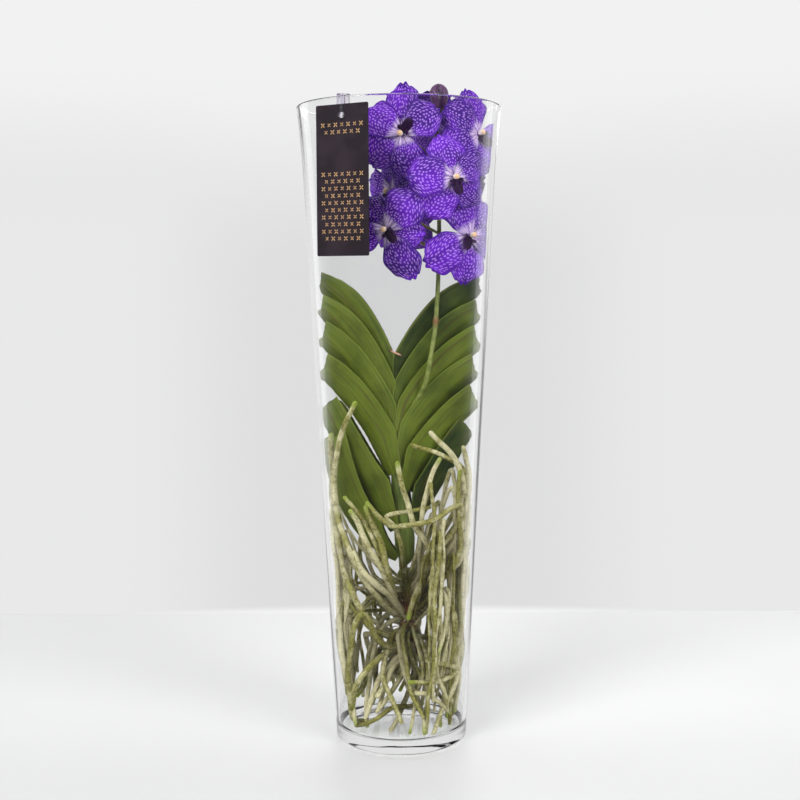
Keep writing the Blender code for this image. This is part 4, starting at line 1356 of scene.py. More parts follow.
@dataclass
class LeafFan:
    """The folded strap leaves in two ranks."""

    thickness: float = 0.0011
    fold_base: float = radians(24.0)
    fold_tip: float = radians(27.0)
    fold_foot: float = radians(12.0)
    handle: float = 0.36
    slope_step: float = 0.02
    keel_offset: float = 0.0024
    seat: float = 0.15
    clasp: float = 0.0016
    full_from: float = 0.30
    taper_from: float = 0.70
    cut_from: float = 0.86
    least_share: float = 0.05
    limit_rounds: int = 3
    keel_rounding: float = 0.05
    wing_bow: float = 0.0016
    rib_depth: float = 0.00026
    ribs: int = 5
    edge_share: float = 0.35
    stations: int = 54
    half_columns: int = 13
    seed: int = 5
    finish: Finish = LeafSkin()
    # Cut of the tip: distance along the leaf in millimetres at shares of the width from left to right
    notch_shares: Tuple[float, ...] = (-1.0, -0.78, -0.5, -0.22, 0.0, 0.24, 0.5, 0.74, 1.0)
    notch_mm: Tuple[float, ...] = (1.0, -1.0, -5.0, -4.5, -9.0, -5.0, -2.0, -1.5, -6.0)
    leaves: Tuple[LeafSpec, ...] = (
        LeafSpec(Rank.LEFT, 1, 306, -82, 436, 17, 50, 29, 3, 0.42),
        LeafSpec(Rank.LEFT, 2, 289, -82, 412, 19, 50, 30, -2, 0.3),
        LeafSpec(Rank.LEFT, 3, 272, -82, 384, 20, 52, 30, 2),
        LeafSpec(Rank.LEFT, 4, 254, -81, 354, 24, 50, 30, -2),
        LeafSpec(Rank.LEFT, 5, 200, -80, 322, 33, 22, 30, 2, 0.14, 0.45),
        LeafSpec(Rank.LEFT, 6, 172, -75, 296, 66, 4, 31, -2, 0.14, 0.32),
        LeafSpec(Rank.RIGHT, 1, 312, 82, 430, 15, 58, 29, -2, 0.42),
        LeafSpec(Rank.RIGHT, 2, 296, 82, 406, 17, 54, 30, 2, 0.3),
        LeafSpec(Rank.RIGHT, 3, 280, 82, 379, 18, 54, 30, -2),
        LeafSpec(Rank.RIGHT, 4, 262, 80, 352, 18, 54, 30, 2),
        LeafSpec(Rank.RIGHT, 5, 238, 80, 326, 22, 46, 29, -2),
        LeafSpec(Rank.RIGHT, 6, 205, 73, 300, 30, 30, 26, 2, 0.14, 0.42),
    )

    def keel_line(self, leaf: LeafSpec) -> Callable[[float], Vector]:
        """The keel's curve.

        Args:
            leaf: the leaf's sizes.

        Returns:
            A function from the share of the way, 0 at the shoot, to the point.
        """
        height = leaf.base * MM
        side = shoot_half_width(height) + GAP + self.seat * self.thickness + self.keel_offset
        start = Vector((stem_axis(height).x + leaf.rank * side, 0.0, height))
        tip = Vector((leaf.tip_x, leaf.drift, leaf.tip_z)) * MM
        reach = (tip - start).length * self.handle
        low, high = radians(leaf.lean_base), radians(leaf.lean_tip)
        leave = start + Vector((leaf.rank * sin(low), 0.0, cos(low))) * reach
        arrive = tip - Vector((leaf.rank * sin(high), 0.0, cos(high))) * reach

        def keel(t: float) -> Vector:
            """Point of the keel at a share of the way."""
            s = 1.0 - t
            return start * s ** 3 + leave * (3.0 * s * s * t) + arrive * (3.0 * s * t * t) + tip * t ** 3

        return keel

    def allowed_share(self, edge: Vector, keel: Vector, inward: Vector, rank: int) -> float:
        """How much of a row's width is kept where the wings close over the shoot.

        Args:
            edge: the row's outer point.
            keel: the row's middle.
            inward: the direction from the keel to the shoot.
            rank: the leaf's rank.

        Returns:
            The share of the width that is kept.
        """
        reach = (edge - keel).dot(inward)
        share = 1.0
        for _ in range(self.limit_rounds):
            level = keel.z + (edge.z - keel.z) * share
            border = stem_axis(min(level, SHOOT_TOP)).x - rank * self.clasp
            share = min(1.0, max((border - keel.x) / inward.x / reach, self.least_share))
        return share

    def grid(self, leaf: LeafSpec, columns: np.ndarray) -> np.ndarray:
        """Middle surface of one leaf.

        Args:
            leaf: the leaf's sizes.
            columns: shares of the half width from left to right.

        Returns:
            Points by station and column.
        """
        keel_at = self.keel_line(leaf)
        softened = np.sqrt(columns ** 2 + self.keel_rounding ** 2) - self.keel_rounding
        softened /= softened[0]
        bow = [copysign(self.wing_bow * sin(pi * abs(column)), column) for column in columns]
        notch = [float(depth) * MM for depth in np.interp(columns, self.notch_shares, self.notch_mm)]
        rows = []
        for t in (station / self.stations for station in range(self.stations + 1)):
            keel = keel_at(t)
            ahead = keel_at(min(1.0, t + self.slope_step)) - keel_at(max(0.0, t - self.slope_step))
            ahead.normalize()
            inward = Vector((-leaf.rank * ahead.z, 0.0, leaf.rank * ahead.x)).normalized()
            opened = min(1.0, t / self.full_from)
            fold = self.fold_base + (self.fold_tip - self.fold_base) * t + self.fold_foot * (1.0 - opened)
            swell = leaf.base_share + (1.0 - leaf.base_share) * opened
            taper = max(0.0, t - self.taper_from) / (1.0 - self.taper_from)
            width = leaf.half_width * MM * swell * (1.0 - leaf.taper * taper ** 2)
            edge = keel + inward * width * cos(fold) + Vector((0.0, width * sin(fold), 0.0))
            share = self.allowed_share(edge, keel, inward, leaf.rank)
            cut = max(0.0, (t - self.cut_from) / (1.0 - self.cut_from)) ** 2
            row = []
            for column, soft, bowed, deep in zip(columns, softened, bow, notch):
                side = column * width * share * sin(fold) + bowed * share
                point = (keel + inward * (soft * width * share * cos(fold)) + Vector((0.0, side, 0.0))
                         + ahead * (deep * cut))
                row.append(inside_vase(point, self.thickness * 0.75))
            rows.append(row)
        return np.array(rows)

    def build(self) -> None:
        """Build every leaf."""
        draw = random.Random(self.seed)
        columns = np.linspace(-1.0, 1.0, 2 * self.half_columns + 1)
        ribbing = np.cos(columns * pi * self.ribs) * self.rib_depth
        edge = 1.0 - (1.0 - self.edge_share) * np.abs(columns) ** 6
        for leaf in self.leaves:
            grid = self.grid(leaf, columns)
            half = np.tile((self.thickness / 2.0 + ribbing) * edge, (len(grid), 1))
            half[-1] *= 0.5
            half[0] *= 0.8
            if leaf.rank is Rank.LEFT:
                grid = grid[:, ::-1]
            piece = Piece("strap_" + leaf.name(), self.finish, "leaf_green", (leaf.name(),))
            piece.stand(closed_sheet(grid, half, {"tint": draw.random()}))


@dataclass
class Shoot:
    """The green shoot that the leaf bases clasp, with the rims of their sheaths."""

    sides: int = 28
    steps: int = 60
    sheath_pitch: float = 0.016
    sheath_rise: float = 0.0004
    end_share: float = 0.04
    tint: float = 0.6
    finish: Finish = LeafSkin(name="shoot skin", veins=40.0, fresh=tone(118, 136, 58))

    def build(self) -> None:
        """Loft the shoot and hand it over."""
        path, radii = [], []
        for t in (step / self.steps for step in range(self.steps + 1)):
            height = SHOOT_START + (SHOOT_TOP - SHOOT_START) * t
            path.append(stem_axis(height))
            ledge = (height / self.sheath_pitch) % 1.0
            radii.append((shoot_half_width(height) - self.sheath_rise * ledge) * round_end(t, self.end_share))
        rings = swept(path, radii, self.sides, SHOOT_HALF_DEPTH / SHOOT_HALF_WIDTH)
        piece = Piece("sheathed_shoot", self.finish, "leaf_green", ("leafy_shoot",), 50.0)
        piece.stand(lofted(rings, {"tint": np.full(rings.shape[:2], self.tint)}))


@dataclass
class RootBunch:
    """The aerial roots, each from the old stem out to the glass and along it."""

    step: float = 0.003
    taper: float = 0.22
    wobble: float = 0.0012
    wobble_length: float = 0.017
    fade_steps: float = 6.0
    tip_steps: int = 4
    tip_stretch: float = 1.2
    tip_least: float = 0.06
    green_tips: float = 0.5
    green_tip_shade: float = 0.85
    green_tip_length: float = 0.010
    bore_margin_mm: float = 3.5
    seed: int = 23
    filler_seed: int = 11
    filler_count: int = 8
    foot_count: int = 22
    strand: Strand = Strand(10, 0.009, 0.35, 0.0003)
    finish: Finish = RootSkin()
    # Curtains of fine roots: first and last azimuth in degrees from the front, count, and the
    # lowest and highest tops in millimetres
    curtains: Tuple[Tuple[float, float, int, float, float], ...] = (
        (26.0, 98.0, 21, 150.0, 262.0), (-100.0, -48.0, 8, 110.0, 215.0), (100.0, 258.0, 16, 120.0, 226.0))
    # Height of the start on the stem, thickness, then the points, all in millimetres
    routes: Tuple[Route, ...] = (
        (112, 6.0, ((-3, -12, 124), (-27, -34, 151), (-45, -44, 186), (-57, -34, 225), (-61, -30, 257),
                    (-59, -33, 281), (-50, -40, 307), (-40, -42, 327))),
        (92, 6.2, ((-5, -10, 96), (-32, -36, 123), (-50, -38, 162), (-58, -31, 203), (-63, -24, 242),
                   (-64, -24, 272), (-62, -25, 297))),
        (130, 5.2, ((-15, -22, 139), (-36, -40, 175), (-48, -42, 193), (-57, -33, 214), (-61, -28, 232))),
        (148, 4.8, ((-8, -24, 158), (-21, -40, 190), (-33, -46, 218), (-43, -46, 231), (-51, -43, 241))),
        (122, 6.6, ((-4, -18, 134), (-14, -34, 161), (-26, -44, 191), (-37, -47, 214), (-45, -47, 229))),
        (116, 7.0, ((-1, -14, 131), (-8, -30, 155), (-16, -42, 186), (-25, -48, 215), (-30, -50, 231))),
        (149, 5.4, ((21, -18, 168), (46, -36, 205), (55, -38, 229), (46, -46, 231), (29, -52, 222),
                    (9, -54, 215), (-8, -54, 216), (-19, -53, 225), (-30, -52, 236))),
        (145, 4.6, ((3, -22, 168), (-4, -44, 209), (-13, -48, 222), (4, -47, 229), (27, -44, 231))),
        (140, 6.0, ((22, -18, 157), (25, -34, 189), (15, -46, 212), (7, -50, 237), (1, -50, 255),
                    (-4, -48, 272))),
        (150, 6.4, ((26, -14, 168), (50, -30, 198), (58, -30, 231), (56, -34, 257), (46, -40, 279),
                    (28, -44, 301))),
        (147, 5.0, ((19, -14, 166), (52, -30, 213), (59, -28, 246), (55, -34, 268), (41, -42, 277),
                    (26, -45, 285), (12, -46, 291))),
        (142, 5.2, ((17, -14, 161), (19, -34, 194), (19, -44, 224), (22, -46, 243), (28, -46, 260),
                    (37, -46, 277))),
        (128, 5.6, ((28, -14, 146), (53, -30, 179), (62, -25, 215), (64, -24, 253), (62, -25, 270),
                    (58, -27, 283))),
        (120, 5.0, ((22, -12, 136), (44, -34, 166), (53, -36, 194), (52, -40, 233), (56, -36, 265))),
        (106, 6.8, ((1, -10, 124), (-9, -26, 143), (-18, -34, 152), (-32, -42, 170), (-44, -45, 189))),
        (84, 6.0, ((3, -8, 86), (-20, -30, 102), (-36, -42, 132), (-45, -40, 107), (-49, -34, 64),
                   (-46, -26, 28), (-36, -12, 18))),
        (98, 6.4, ((9, -3, 101), (-10, -20, 92), (-29, -32, 76), (-42, -34, 57), (-47, -30, 38))),
        (90, 6.2, ((10, -3, 91), (-8, -22, 78), (-27, -36, 54), (-33, -38, 32))),
        (86, 6.4, ((10, -4, 84), (-6, -26, 74), (-23, -42, 54))),
        (83, 5.0, ((12, -5, 82), (3, -20, 70), (-10, -34, 53), (-23, -42, 39))),
        (80, 5.6, ((13, -6, 76), (7, -16, 49), (-2, -30, 29), (-9, -36, 18))),
        (81, 5.4, ((14, -8, 79), (18, -20, 82), (37, -36, 82), (51, -27, 70), (33, -42, 67), (9, -47, 66))),
        (93, 4.8, ((11, -4, 88), (5, -20, 56), (13, -40, 54), (22, -46, 56), (36, -40, 45), (45, -30, 32))),
        (79, 5.0, ((13, -2, 70), (13, -16, 37), (-6, -34, 38), (-25, -42, 30), (-43, -24, 18))),
        (125, 5.2, ((22, -8, 133), (34, -30, 121), (31, -40, 95), (38, -40, 56), (41, -34, 36))),
        (138, 5.4, ((26, -10, 145), (48, -34, 132), (50, -28, 102), (46, -26, 62), (47, -14, 18))),
        (144, 5.0, ((19, -10, 156), (38, -36, 152), (43, -38, 124), (34, -46, 97))),
        (146, 6.0, ((22, -12, 158), (16, -30, 150), (7, -38, 125))),
        (148, 5.8, ((28, -8, 164), (56, -14, 182), (60, -10, 145), (57, -4, 95), (53, -2, 45), (50, 4, 18))),
        (148, 5.4, ((28, -10, 156), (52, -24, 176), (56, -26, 140), (52, -26, 100), (45, -30, 66))),
        (150, 5.0, ((27, -6, 166), (58, 0, 196), (64, 2, 160), (60, 4, 105), (56, 8, 60), (44, 14, 18))),
    )

    def laid(self, start: float, thickness: float, stations: Sequence[Point]) -> Route:
        """Route through stations of the round vase.

        Args:
            start: height of the start on the stem in millimetres.
            thickness: in millimetres.
            stations: share of the way to the glass, degrees from the front to the right, and height
                in millimetres of each.

        Returns:
            The route.
        """
        points = []
        for share, azimuth, height in stations:
            reach = share * ((outer_radius(height * MM) - WALL) / MM - self.bore_margin_mm)
            angle = radians(azimuth)
            points.append((reach * sin(angle), -reach * cos(angle), height))
        return start, thickness, points

    def filler_routes(self) -> List[Route]:
        """Routes of the roots that fill the back and the sides, by the same rule as the solids.

        Returns:
            The routes.
        """
        draw = random.Random(self.filler_seed)
        routes = []
        for index in range(self.filler_count):
            azimuth = 105.0 + 150.0 * index / (self.filler_count - 1) + draw.uniform(-8.0, 8.0)
            start = 96.0 + 10.0 * (index * 4 % self.filler_count)
            rise = draw.uniform(*((20.0, 95.0) if index % 2 else (-20.0, 6.0)))
            turn = draw.uniform(12.0, 34.0) * (1.0 if index % 3 else -1.0)
            thickness = draw.uniform(4.6, 6.2)
            routes.append(self.laid(start, thickness, (
                (0.40, azimuth, start), (0.80, azimuth + 0.4 * turn, start + 0.5 * rise),
                (0.97, azimuth + 0.8 * turn, start + rise),
                (0.97, azimuth + 1.5 * turn, 0.55 * start + 0.3 * rise),
                (0.94, azimuth + 2.2 * turn, 18.0 + 5.0 * (index % 3)))))
        return routes

    def curtain_routes(self, draw: random.Random) -> List[Route]:
        """Routes of the finer roots that hang in curtains along the glass.

        Args:
            draw: the source of chance.

        Returns:
            The routes.
        """
        routes = []
        for first, last, count, lowest, highest in self.curtains:
            for index in range(count):
                azimuth = first + (last - first) * (index + draw.uniform(0.2, 0.8)) / count
                start = draw.uniform(100.0, 150.0)
                top = draw.uniform(lowest, highest)
                depth = draw.uniform(0.86, 1.0)
                turn = draw.uniform(-22.0, 22.0)
                bottom = draw.uniform(17.0, 60.0)
                routes.append(self.laid(start, draw.uniform(2.6, 4.7), (
                    (0.45, azimuth - turn, start + 0.3 * (top - start)), (0.82 * depth, azimuth, top - 14.0),
                    (depth, azimuth + 0.2 * turn, top),
                    (depth, azimuth + 0.6 * turn, 0.6 * top + 0.4 * bottom),
                    (depth, azimuth + turn, 0.25 * top + 0.75 * bottom),
                    (depth - 0.06, azimuth + 1.3 * turn, bottom))))
        return routes

    def foot_routes(self, draw: random.Random) -> List[Route]:
        """Routes of the short roots from the stem's foot down to the floor.

        Args:
            draw: the source of chance.

        Returns:
            The routes.
        """
        routes = []
        for index in range(self.foot_count):
            azimuth = 360.0 * (index + draw.uniform(0.1, 0.9)) / self.foot_count
            start = draw.uniform(79.0, 125.0)
            turn = draw.uniform(-40.0, 40.0)
            reach = draw.uniform(0.55, 0.97)
            foot = draw.uniform(18.0, 42.0)
            routes.append(self.laid(start, draw.uniform(3.6, 5.6), (
                (0.30, azimuth, start - 8.0), (0.6 * reach + 0.1, azimuth + 0.4 * turn, 0.55 * start + 8.0),
                (reach, azimuth + turn, foot))))
        return routes

    def line(self, draw: random.Random, route: Route) -> Tuple[List[Vector], List[float], List[float]]:
        """The stations of one root.

        Args:
            draw: the source of chance.
            route: the root's route.

        Returns:
            The points, their radii and how green each is.
        """
        start, thickness, points = route
        radius = thickness * MM / 2.0
        passed = [inside_vase(Vector(point) * MM, radius) for point in points]
        path = smooth_path([stem_axis(start * MM)] + passed, self.step)
        phases = [draw.uniform(0.0, 2.0 * pi) for _ in range(6)]
        line, radii = [], []
        for index, point in enumerate(path):
            way = index * self.step / self.wobble_length
            offset = Vector([sin(way * (1.0 + 0.37 * axis) + phases[axis])
                             + 0.5 * sin(way * 2.3 + phases[axis + 3]) for axis in range(3)])
            moved = inside_vase(point + offset * self.wobble * min(1.0, index / self.fade_steps), radius)
            moved.z = max(moved.z, FLOOR + GAP + radius)
            line.append(moved)
            radii.append(radius * (1.0 - self.taper * (index / (len(path) - 1)) ** 2))
        end, end_radius = line[-1], radii[-1]
        ahead = (end - line[-2]).normalized()
        for angle in (pi / 2.0 * step / self.tip_steps for step in range(1, self.tip_steps + 1)):
            line.append(end + ahead * end_radius * self.tip_stretch * sin(angle))
            radii.append(end_radius * max(self.tip_least, cos(angle)))
        green = [0.0] * len(line)
        left = 0.0
        if draw.random() < self.green_tips:
            for index in range(len(line) - 1, 0, -1):
                green[index] = self.green_tip_shade * max(0.0, 1.0 - left / self.green_tip_length)
                left += (line[index] - line[index - 1]).length
        return line, radii, green

    def build(self) -> None:
        """Grow every root as a strand and hand the bunch over."""
        draw = random.Random(self.seed)
        lines, girth, tint, green = [], [], [], []
        grown = self.filler_routes() + self.curtain_routes(draw) + self.foot_routes(draw)
        for route in [*self.routes, *grown]:
            line, radii, tips = self.line(draw, route)
            lines.append(line)
            girth += radii
            tint += [draw.random()] * len(line)
            green += tips
        piece = Piece("root_bunch", self.finish, "root_skin", ("stem_and_roots",))
        self.strand.grow(piece, lines, {"girth": girth, "tint": tint, "green_tip": green})


@dataclass
class OldStem:
    """The leafless lower stem, ringed by leaf scars, with the green sheath at its top."""

    sides: int = 20
    step: float = 0.0012
    end_gap: float = 0.004
    end_share: float = 0.05
    scar_pitch: float = 0.009
    scar_rise: float = 0.0007
    swell: Tuple[float, ...] = (0.7, 1.0, 0.95, 1.05, 1.1)
    sheath_start: float = 0.122
    sheath_width: float = 0.0058
    sheath_shade: float = 0.85
    sheath_onset: float = 1.6
    finish: Finish = OldBark()

    def build(self) -> None:
        """Loft the stem and hand it over."""
        end = SHOOT_START - GAP - self.end_gap
        count = int((end - STEM_FOOT_HEIGHT) / self.step)
        path, radii, green = [], [], []
        for t in (index / count for index in range(count + 1)):
            height = STEM_FOOT_HEIGHT + (end - STEM_FOOT_HEIGHT) * t
            scar = self.scar_rise * (abs(((height / self.scar_pitch) % 1.0) - 0.5) * 2.0) ** 6
            body = STEM_RADIUS * float(np.interp(t, np.linspace(0.0, 1.0, len(self.swell)), self.swell))
            sheath = max(0.0, height - self.sheath_start) / (end - self.sheath_start)
            radii.append((body + scar) * round_end(t, self.end_share) + self.sheath_width * sheath)
            path.append(stem_axis(height))
            green.append([self.sheath_shade * min(1.0, self.sheath_onset * sheath)] * self.sides)
        shape = lofted(swept(path, radii, self.sides), {"green": np.array(green)})
        Piece("scarred_old_stem", self.finish, "root_skin", ("stem_and_roots",), 45.0).stand(shape)


@dataclass
class FibreClump:
    """The tangle of dead brown fibres in the crotch of the roots."""

    centre: Point = (6, -9, 127)
    reach: Point = (6, 5, 9)
    spread: float = 0.45
    count: int = 46
    stations: int = 9
    step: float = 0.0022
    curl: float = 0.5
    radius: float = 0.00042
    seed: int = 3
    strand: Strand = Strand(5, 0.003, 0.6)
    finish: Finish = OldBark(name="dead fibres", light=tone(112, 66, 40), dark=tone(42, 20, 14))

    def build(self) -> None:
        """Grow the fibres as curly strands and hand them over."""
        draw = random.Random(self.seed)
        lines = []
        for _ in range(self.count):
            line = [Vector([(middle + draw.gauss(0.0, self.spread) * reach) * MM
                            for middle, reach in zip(self.centre, self.reach)])]
            way = Vector([draw.gauss(0.0, 1.0) for _ in range(3)]).normalized()
            for _ in range(self.stations):
                way = (way + Vector([draw.gauss(0.0, self.curl) for _ in range(3)])).normalized()
                line.append(line[-1] + way * self.step)
            lines.append(line)
        piece = Piece("brown_fibres", self.finish, "root_skin", ("stem_and_roots",))
        self.strand.grow(piece, lines, {"girth": [self.radius] * sum(map(len, lines))})


@dataclass
class TepalSpec:
    """One sepal or petal: angle from the lip in degrees, lift of its layer, share of the bloom's size."""

    angle: float
    lift: float
    share: float


@dataclass
class BloomSpec:
    """Place and size of one bloom; millimetres and degrees.

    The spread is given for a bloom whose tepals differ: for each tepal of the layout its angle,
    anticlockwise from the bloom's right, its length and its width.
    """

    name: str
    centre: Point
    heading: float
    pitch: float
    roll: float
    length: float
    width: float
    spread: Tuple[Point, ...] = ()


class BloomPart(Enum):
    """The three pieces of a bloom."""

    TEPALS = "tepals"
    LIP = "lip"
    COLUMN = "cream_column"

    def of(self, bloom: BloomSpec) -> str:
        """Name of the piece of a bloom."""
        return "%s_%s" % (bloom.name, self.value)


@dataclass
class Blooms:
    """Every bloom: five tepals, the three-lobed lip and the column."""

    thickness: float = 0.0008
    rows: int = 26
    columns: int = 19
    foot_share: float = 0.05
    cup: float = 0.004
    droop: float = 0.0046
    corner: float = 0.10
    claw: float = 0.13
    widest: float = 0.68
    tip_width: float = 0.48
    tip_turn: float = 2.4
    end_ripple: float = 0.0011
    end_turns: float = 9.0
    side_ripple: float = 0.045
    side_turns: float = 11.0
    wave: float = 0.0025
    wave_turns: float = 2.2
    crumple: float = 0.0014
    crease: float = 0.0011
    crease_width: float = 0.17
    curl: float = 0.0012
    margin: float = 0.0012
    hub_radius: float = 0.0034
    hub_half_depth: float = 0.00272
    hub_steps: Tuple[int, int] = (10, 16)
    column_radius: float = 0.0026
    column_length: float = 0.0075
    column_offset: float = 0.00078
    column_steps: Tuple[int, int] = (22, 20)
    least_radius: float = 0.00004
    lobe_rows: int = 14
    lobe_columns: int = 12
    lobe_half_thickness: float = 0.0005
    lip_length: float = 0.015
    lip_width: float = 0.0095
    lip_lean: float = radians(-32.0)
    lip_root: float = 0.0012
    lip_seat: float = 1.25
    side_lobe_length: float = 0.0055
    side_lobe_width: float = 0.0050
    side_lobe_turn: float = radians(38.0)
    side_lobe_lean: float = radians(-58.0)
    side_lobe_place: Pair = (0.0010, 0.0030)
    seed: int = 41
    skin: Finish = TepalSkin()
    lip_skin: Finish = LipSkin()
    wax: Finish = ColumnWax()
    layout: Tuple[TepalSpec, ...] = (
        TepalSpec(180.0, -0.0016, 0.96), TepalSpec(40.0, -0.0016, 0.98), TepalSpec(-40.0, 0.0, 0.98),
        TepalSpec(108.0, 0.0016, 1.0), TepalSpec(-108.0, 0.0016, 1.0),
    )
    blooms: Tuple[BloomSpec, ...] = (
        BloomSpec("bloom_1", (3, -43, 571), -12, 4, 50, 45, 36,
                  ((216, 41, 37), (90, 47, 30), (284, 42, 34), (148, 40, 34), (32, 39, 35))),
        BloomSpec("bloom_2", (48, -55, 531), 18, -2, 282, 36, 32,
                  ((108, 39, 34), (322, 34, 30), (236, 42, 36), (30, 34, 32), (178, 42, 37))),
        BloomSpec("bloom_3", (72, -14, 573), 38, 6, 310, 40, 34,
                  ((96, 43, 28), (350, 36, 30), (268, 40, 34), (148, 42, 36), (204, 50, 36))),
        BloomSpec("bloom_4", (-11, -49, 486), -20, -8, 315, 40, 35,
                  ((128, 34, 30), (352, 34, 30), (296, 51, 34), (46, 44, 38), (196, 38, 30))),
        BloomSpec("bloom_5", (63, -31, 480), 26, 2, 235, 41, 34,
                  ((62, 38, 32), (266, 44, 34), (211, 50, 38), (344, 34, 30), (118, 46, 38))),
        BloomSpec("bloom_6", (-6, -15, 522), -48, -6, 270, 36, 32),
        BloomSpec("bloom_7", (34, 22, 585), 175, 12, 270, 36, 34),
        BloomSpec("bloom_8", (60, 36, 528), 130, 0, 280, 38, 34),
        BloomSpec("bloom_9", (2, 36, 500), 200, -4, 265, 38, 34),
    )

    @staticmethod
    def axes_of(bloom: BloomSpec) -> Matrix:
        """A bloom's own axes: Z its facing direction, Y its up.

        Args:
            bloom: the bloom's place.

        Returns:
            The matrix from the bloom's axes to the vase's.
        """
        turn, lift = radians(bloom.heading), radians(bloom.pitch)
        facing = Vector((sin(turn) * cos(lift), -cos(turn) * cos(lift), sin(lift)))
        right = UP.cross(facing).normalized()
        axes = Matrix((right, facing.cross(right), facing)).transposed().to_4x4()
        axes.translation = Vector(bloom.centre) * MM
        return axes

    def half_width(self, along: float) -> float:
        """Half width of a tepal.

        Args:
            along: share of the length from the foot.

        Returns:
            The half width as a share of the widest.
        """
        if along <= self.widest:
            return self.claw + (1.0 - self.claw) * sin(pi / 2.0 * along / self.widest)
        past = (along - self.widest) / (1.0 - self.widest)
        return 1.0 - (1.0 - self.tip_width) * past ** self.tip_turn

    def measures(self, bloom: BloomSpec, number: int) -> Point:
        """Direction and size of a tepal.

        Args:
            bloom: the bloom.
            number: the tepal's place in the layout.

        Returns:
            The angle in degrees from the bloom's right, the length and the width in millimetres.
        """
        if bloom.spread:
            return bloom.spread[number]
        spec = self.layout[number]
        return bloom.roll + spec.angle, bloom.length * spec.share, bloom.width * spec.share

    def tepal(self, axes: Matrix, bloom: BloomSpec, number: int, draw: random.Random) -> Patch:
        """One wavy tepal.

        Args:
            axes: the bloom's axes.
            bloom: the bloom.
            number: the tepal's place in the layout.
            draw: the source of chance.

        Returns:
            The closed tepal.
        """
        angle, length, width = self.measures(bloom, number)
        ahead = Vector((cos(radians(angle)), sin(radians(angle)), 0.0))
        side = Vector((-ahead.y, ahead.x, 0.0))
        phase = [draw.uniform(0.0, 2.0 * pi) for _ in range(4)]
        twist = sin(draw.uniform(-0.16, 0.16))
        bow = draw.uniform(0.7, 1.5)

        def height(u: float, v: float) -> float:
            """Height of the untwisted surface.

            Args:
                u: share across, from -1 to 1.
                v: share along, from 0 to 1.

            Returns:
                The height.
            """
            wave = self.wave_turns * 2.0 * pi * v + phase[1] + (0.0 if u > 0 else phase[3])
            crumple = sin(5.3 * u + 6.0 * v + phase[0]) * sin(8.7 * v - 2.9 * u + phase[1])
            return (self.layout[number].lift + self.cup * sin(pi * v) * bow - self.droop * v ** 3
                    - self.curl * u * u * v + self.wave * u * u * v * sin(wave) + self.crumple * v * crumple
                    - self.crease * exp(-(u / self.crease_width) ** 2) * (1.0 - 0.5 * v))

        rows = []
        for i in range(self.rows + 1):
            v = self.foot_share + (1.0 - self.foot_share) * i / self.rows
            half = self.half_width(v) * width * MM / 2.0
            row = []
            for j in range(self.columns + 1):
                u = 2.0 * j / self.columns - 1.0
                reach = length * MM * v * (1.0 - self.corner * u * u * v * v)
                reach += self.end_ripple * sin(self.end_turns * u + phase[2]) * v ** 4
                ripple = sin(self.side_turns * v + phase[0] * (1 if u > 0 else 2))
                across = u * half * (1.0 + self.side_ripple * ripple)
                local = ahead * reach + side * across + UP * (height(u, v) + twist * across * v)
                row.append(inside_vase(axes @ local, self.margin))
            rows.append(row)
        shares = np.linspace(-1.0, 1.0, self.columns + 1)
        thickness = np.tile(self.thickness / 2.0 * (1.0 - 0.6 * np.abs(shares) ** 4), (len(rows), 1))
        thickness[-1] *= 0.6
        return closed_sheet(np.array(rows)[:, ::-1], thickness, {"phase": draw.random(), "back": 0.0})

    def lobe(self, axes: Matrix, length: float, width: float, rise: Callable[[float, float], float]) -> Patch:
        """One lobe of the lip.

        Args:
            axes: from the lobe's axes to the vase's.
            length: length of the lobe.
            width: widest width of the lobe.
            rise: height of the lobe's surface at a share across and a share along.

        Returns:
            The closed lobe.
        """
        rows = []
        for v in (i / self.lobe_rows for i in range(self.lobe_rows + 1)):
            half = width / 2.0 * (0.55 + 0.45 * sin(pi * min(1.0, v * 0.9 + 0.1)))
            half *= sqrt(max(0.04, 1.0 - max(0.0, v - 0.72) ** 2 / 0.08))
            row = []
            for u in (2.0 * j / self.lobe_columns - 1.0 for j in range(self.lobe_columns + 1)):
                notch = 0.10 * exp(-(u / 0.22) ** 2) * v ** 6
                local = Vector((length * v * (1.0 - notch), -u * half, rise(u, v)))
                row.append(inside_vase(axes @ local, self.margin))
            rows.append(row)
        thickness = np.full((len(rows), self.lobe_columns + 1), self.lobe_half_thickness)
        for edge in (thickness[:, 0], thickness[:, -1], thickness[-1]):
            edge *= 0.5
        return closed_sheet(np.array(rows), thickness, {})

    def lip(self, towards_lip: Matrix) -> Patch:
        """The dark lip: a ridged middle lobe and two small side lobes.

        Args:
            towards_lip: the bloom's axes with X turned towards the lip.

        Returns:
            The three closed lobes.
        """
        def ridged(u: float, v: float) -> float:
            """Surface of the middle lobe: arched, with three low ridges."""
            return -0.0016 * u * u - 0.0022 * v ** 3 + 0.0004 * cos(3.0 * pi * u) * sin(pi * v)

        def winged(u: float, v: float) -> float:
            """Surface of a side lobe."""
            return 0.0008 * sin(pi * v) - 0.0006 * u * u

        place = towards_lip @ Matrix.Translation((self.lip_root, 0.0, self.hub_half_depth * self.lip_seat))
        lobes = [self.lobe(place @ Matrix.Rotation(self.lip_lean, 4, "Y"), self.lip_length, self.lip_width,
                           ridged)]
        ahead, aside = self.side_lobe_place
        lean = Matrix.Rotation(self.side_lobe_lean, 4, "Y")
        for side in (1.0, -1.0):
            turn = Matrix.Rotation(side * self.side_lobe_turn, 4, "Z")
            spot = Matrix.Translation((ahead, side * aside, 0.0))
            lobes.append(self.lobe(place @ spot @ turn @ lean, self.side_lobe_length,
                                   self.side_lobe_width, winged))
        return Patch.join(lobes)

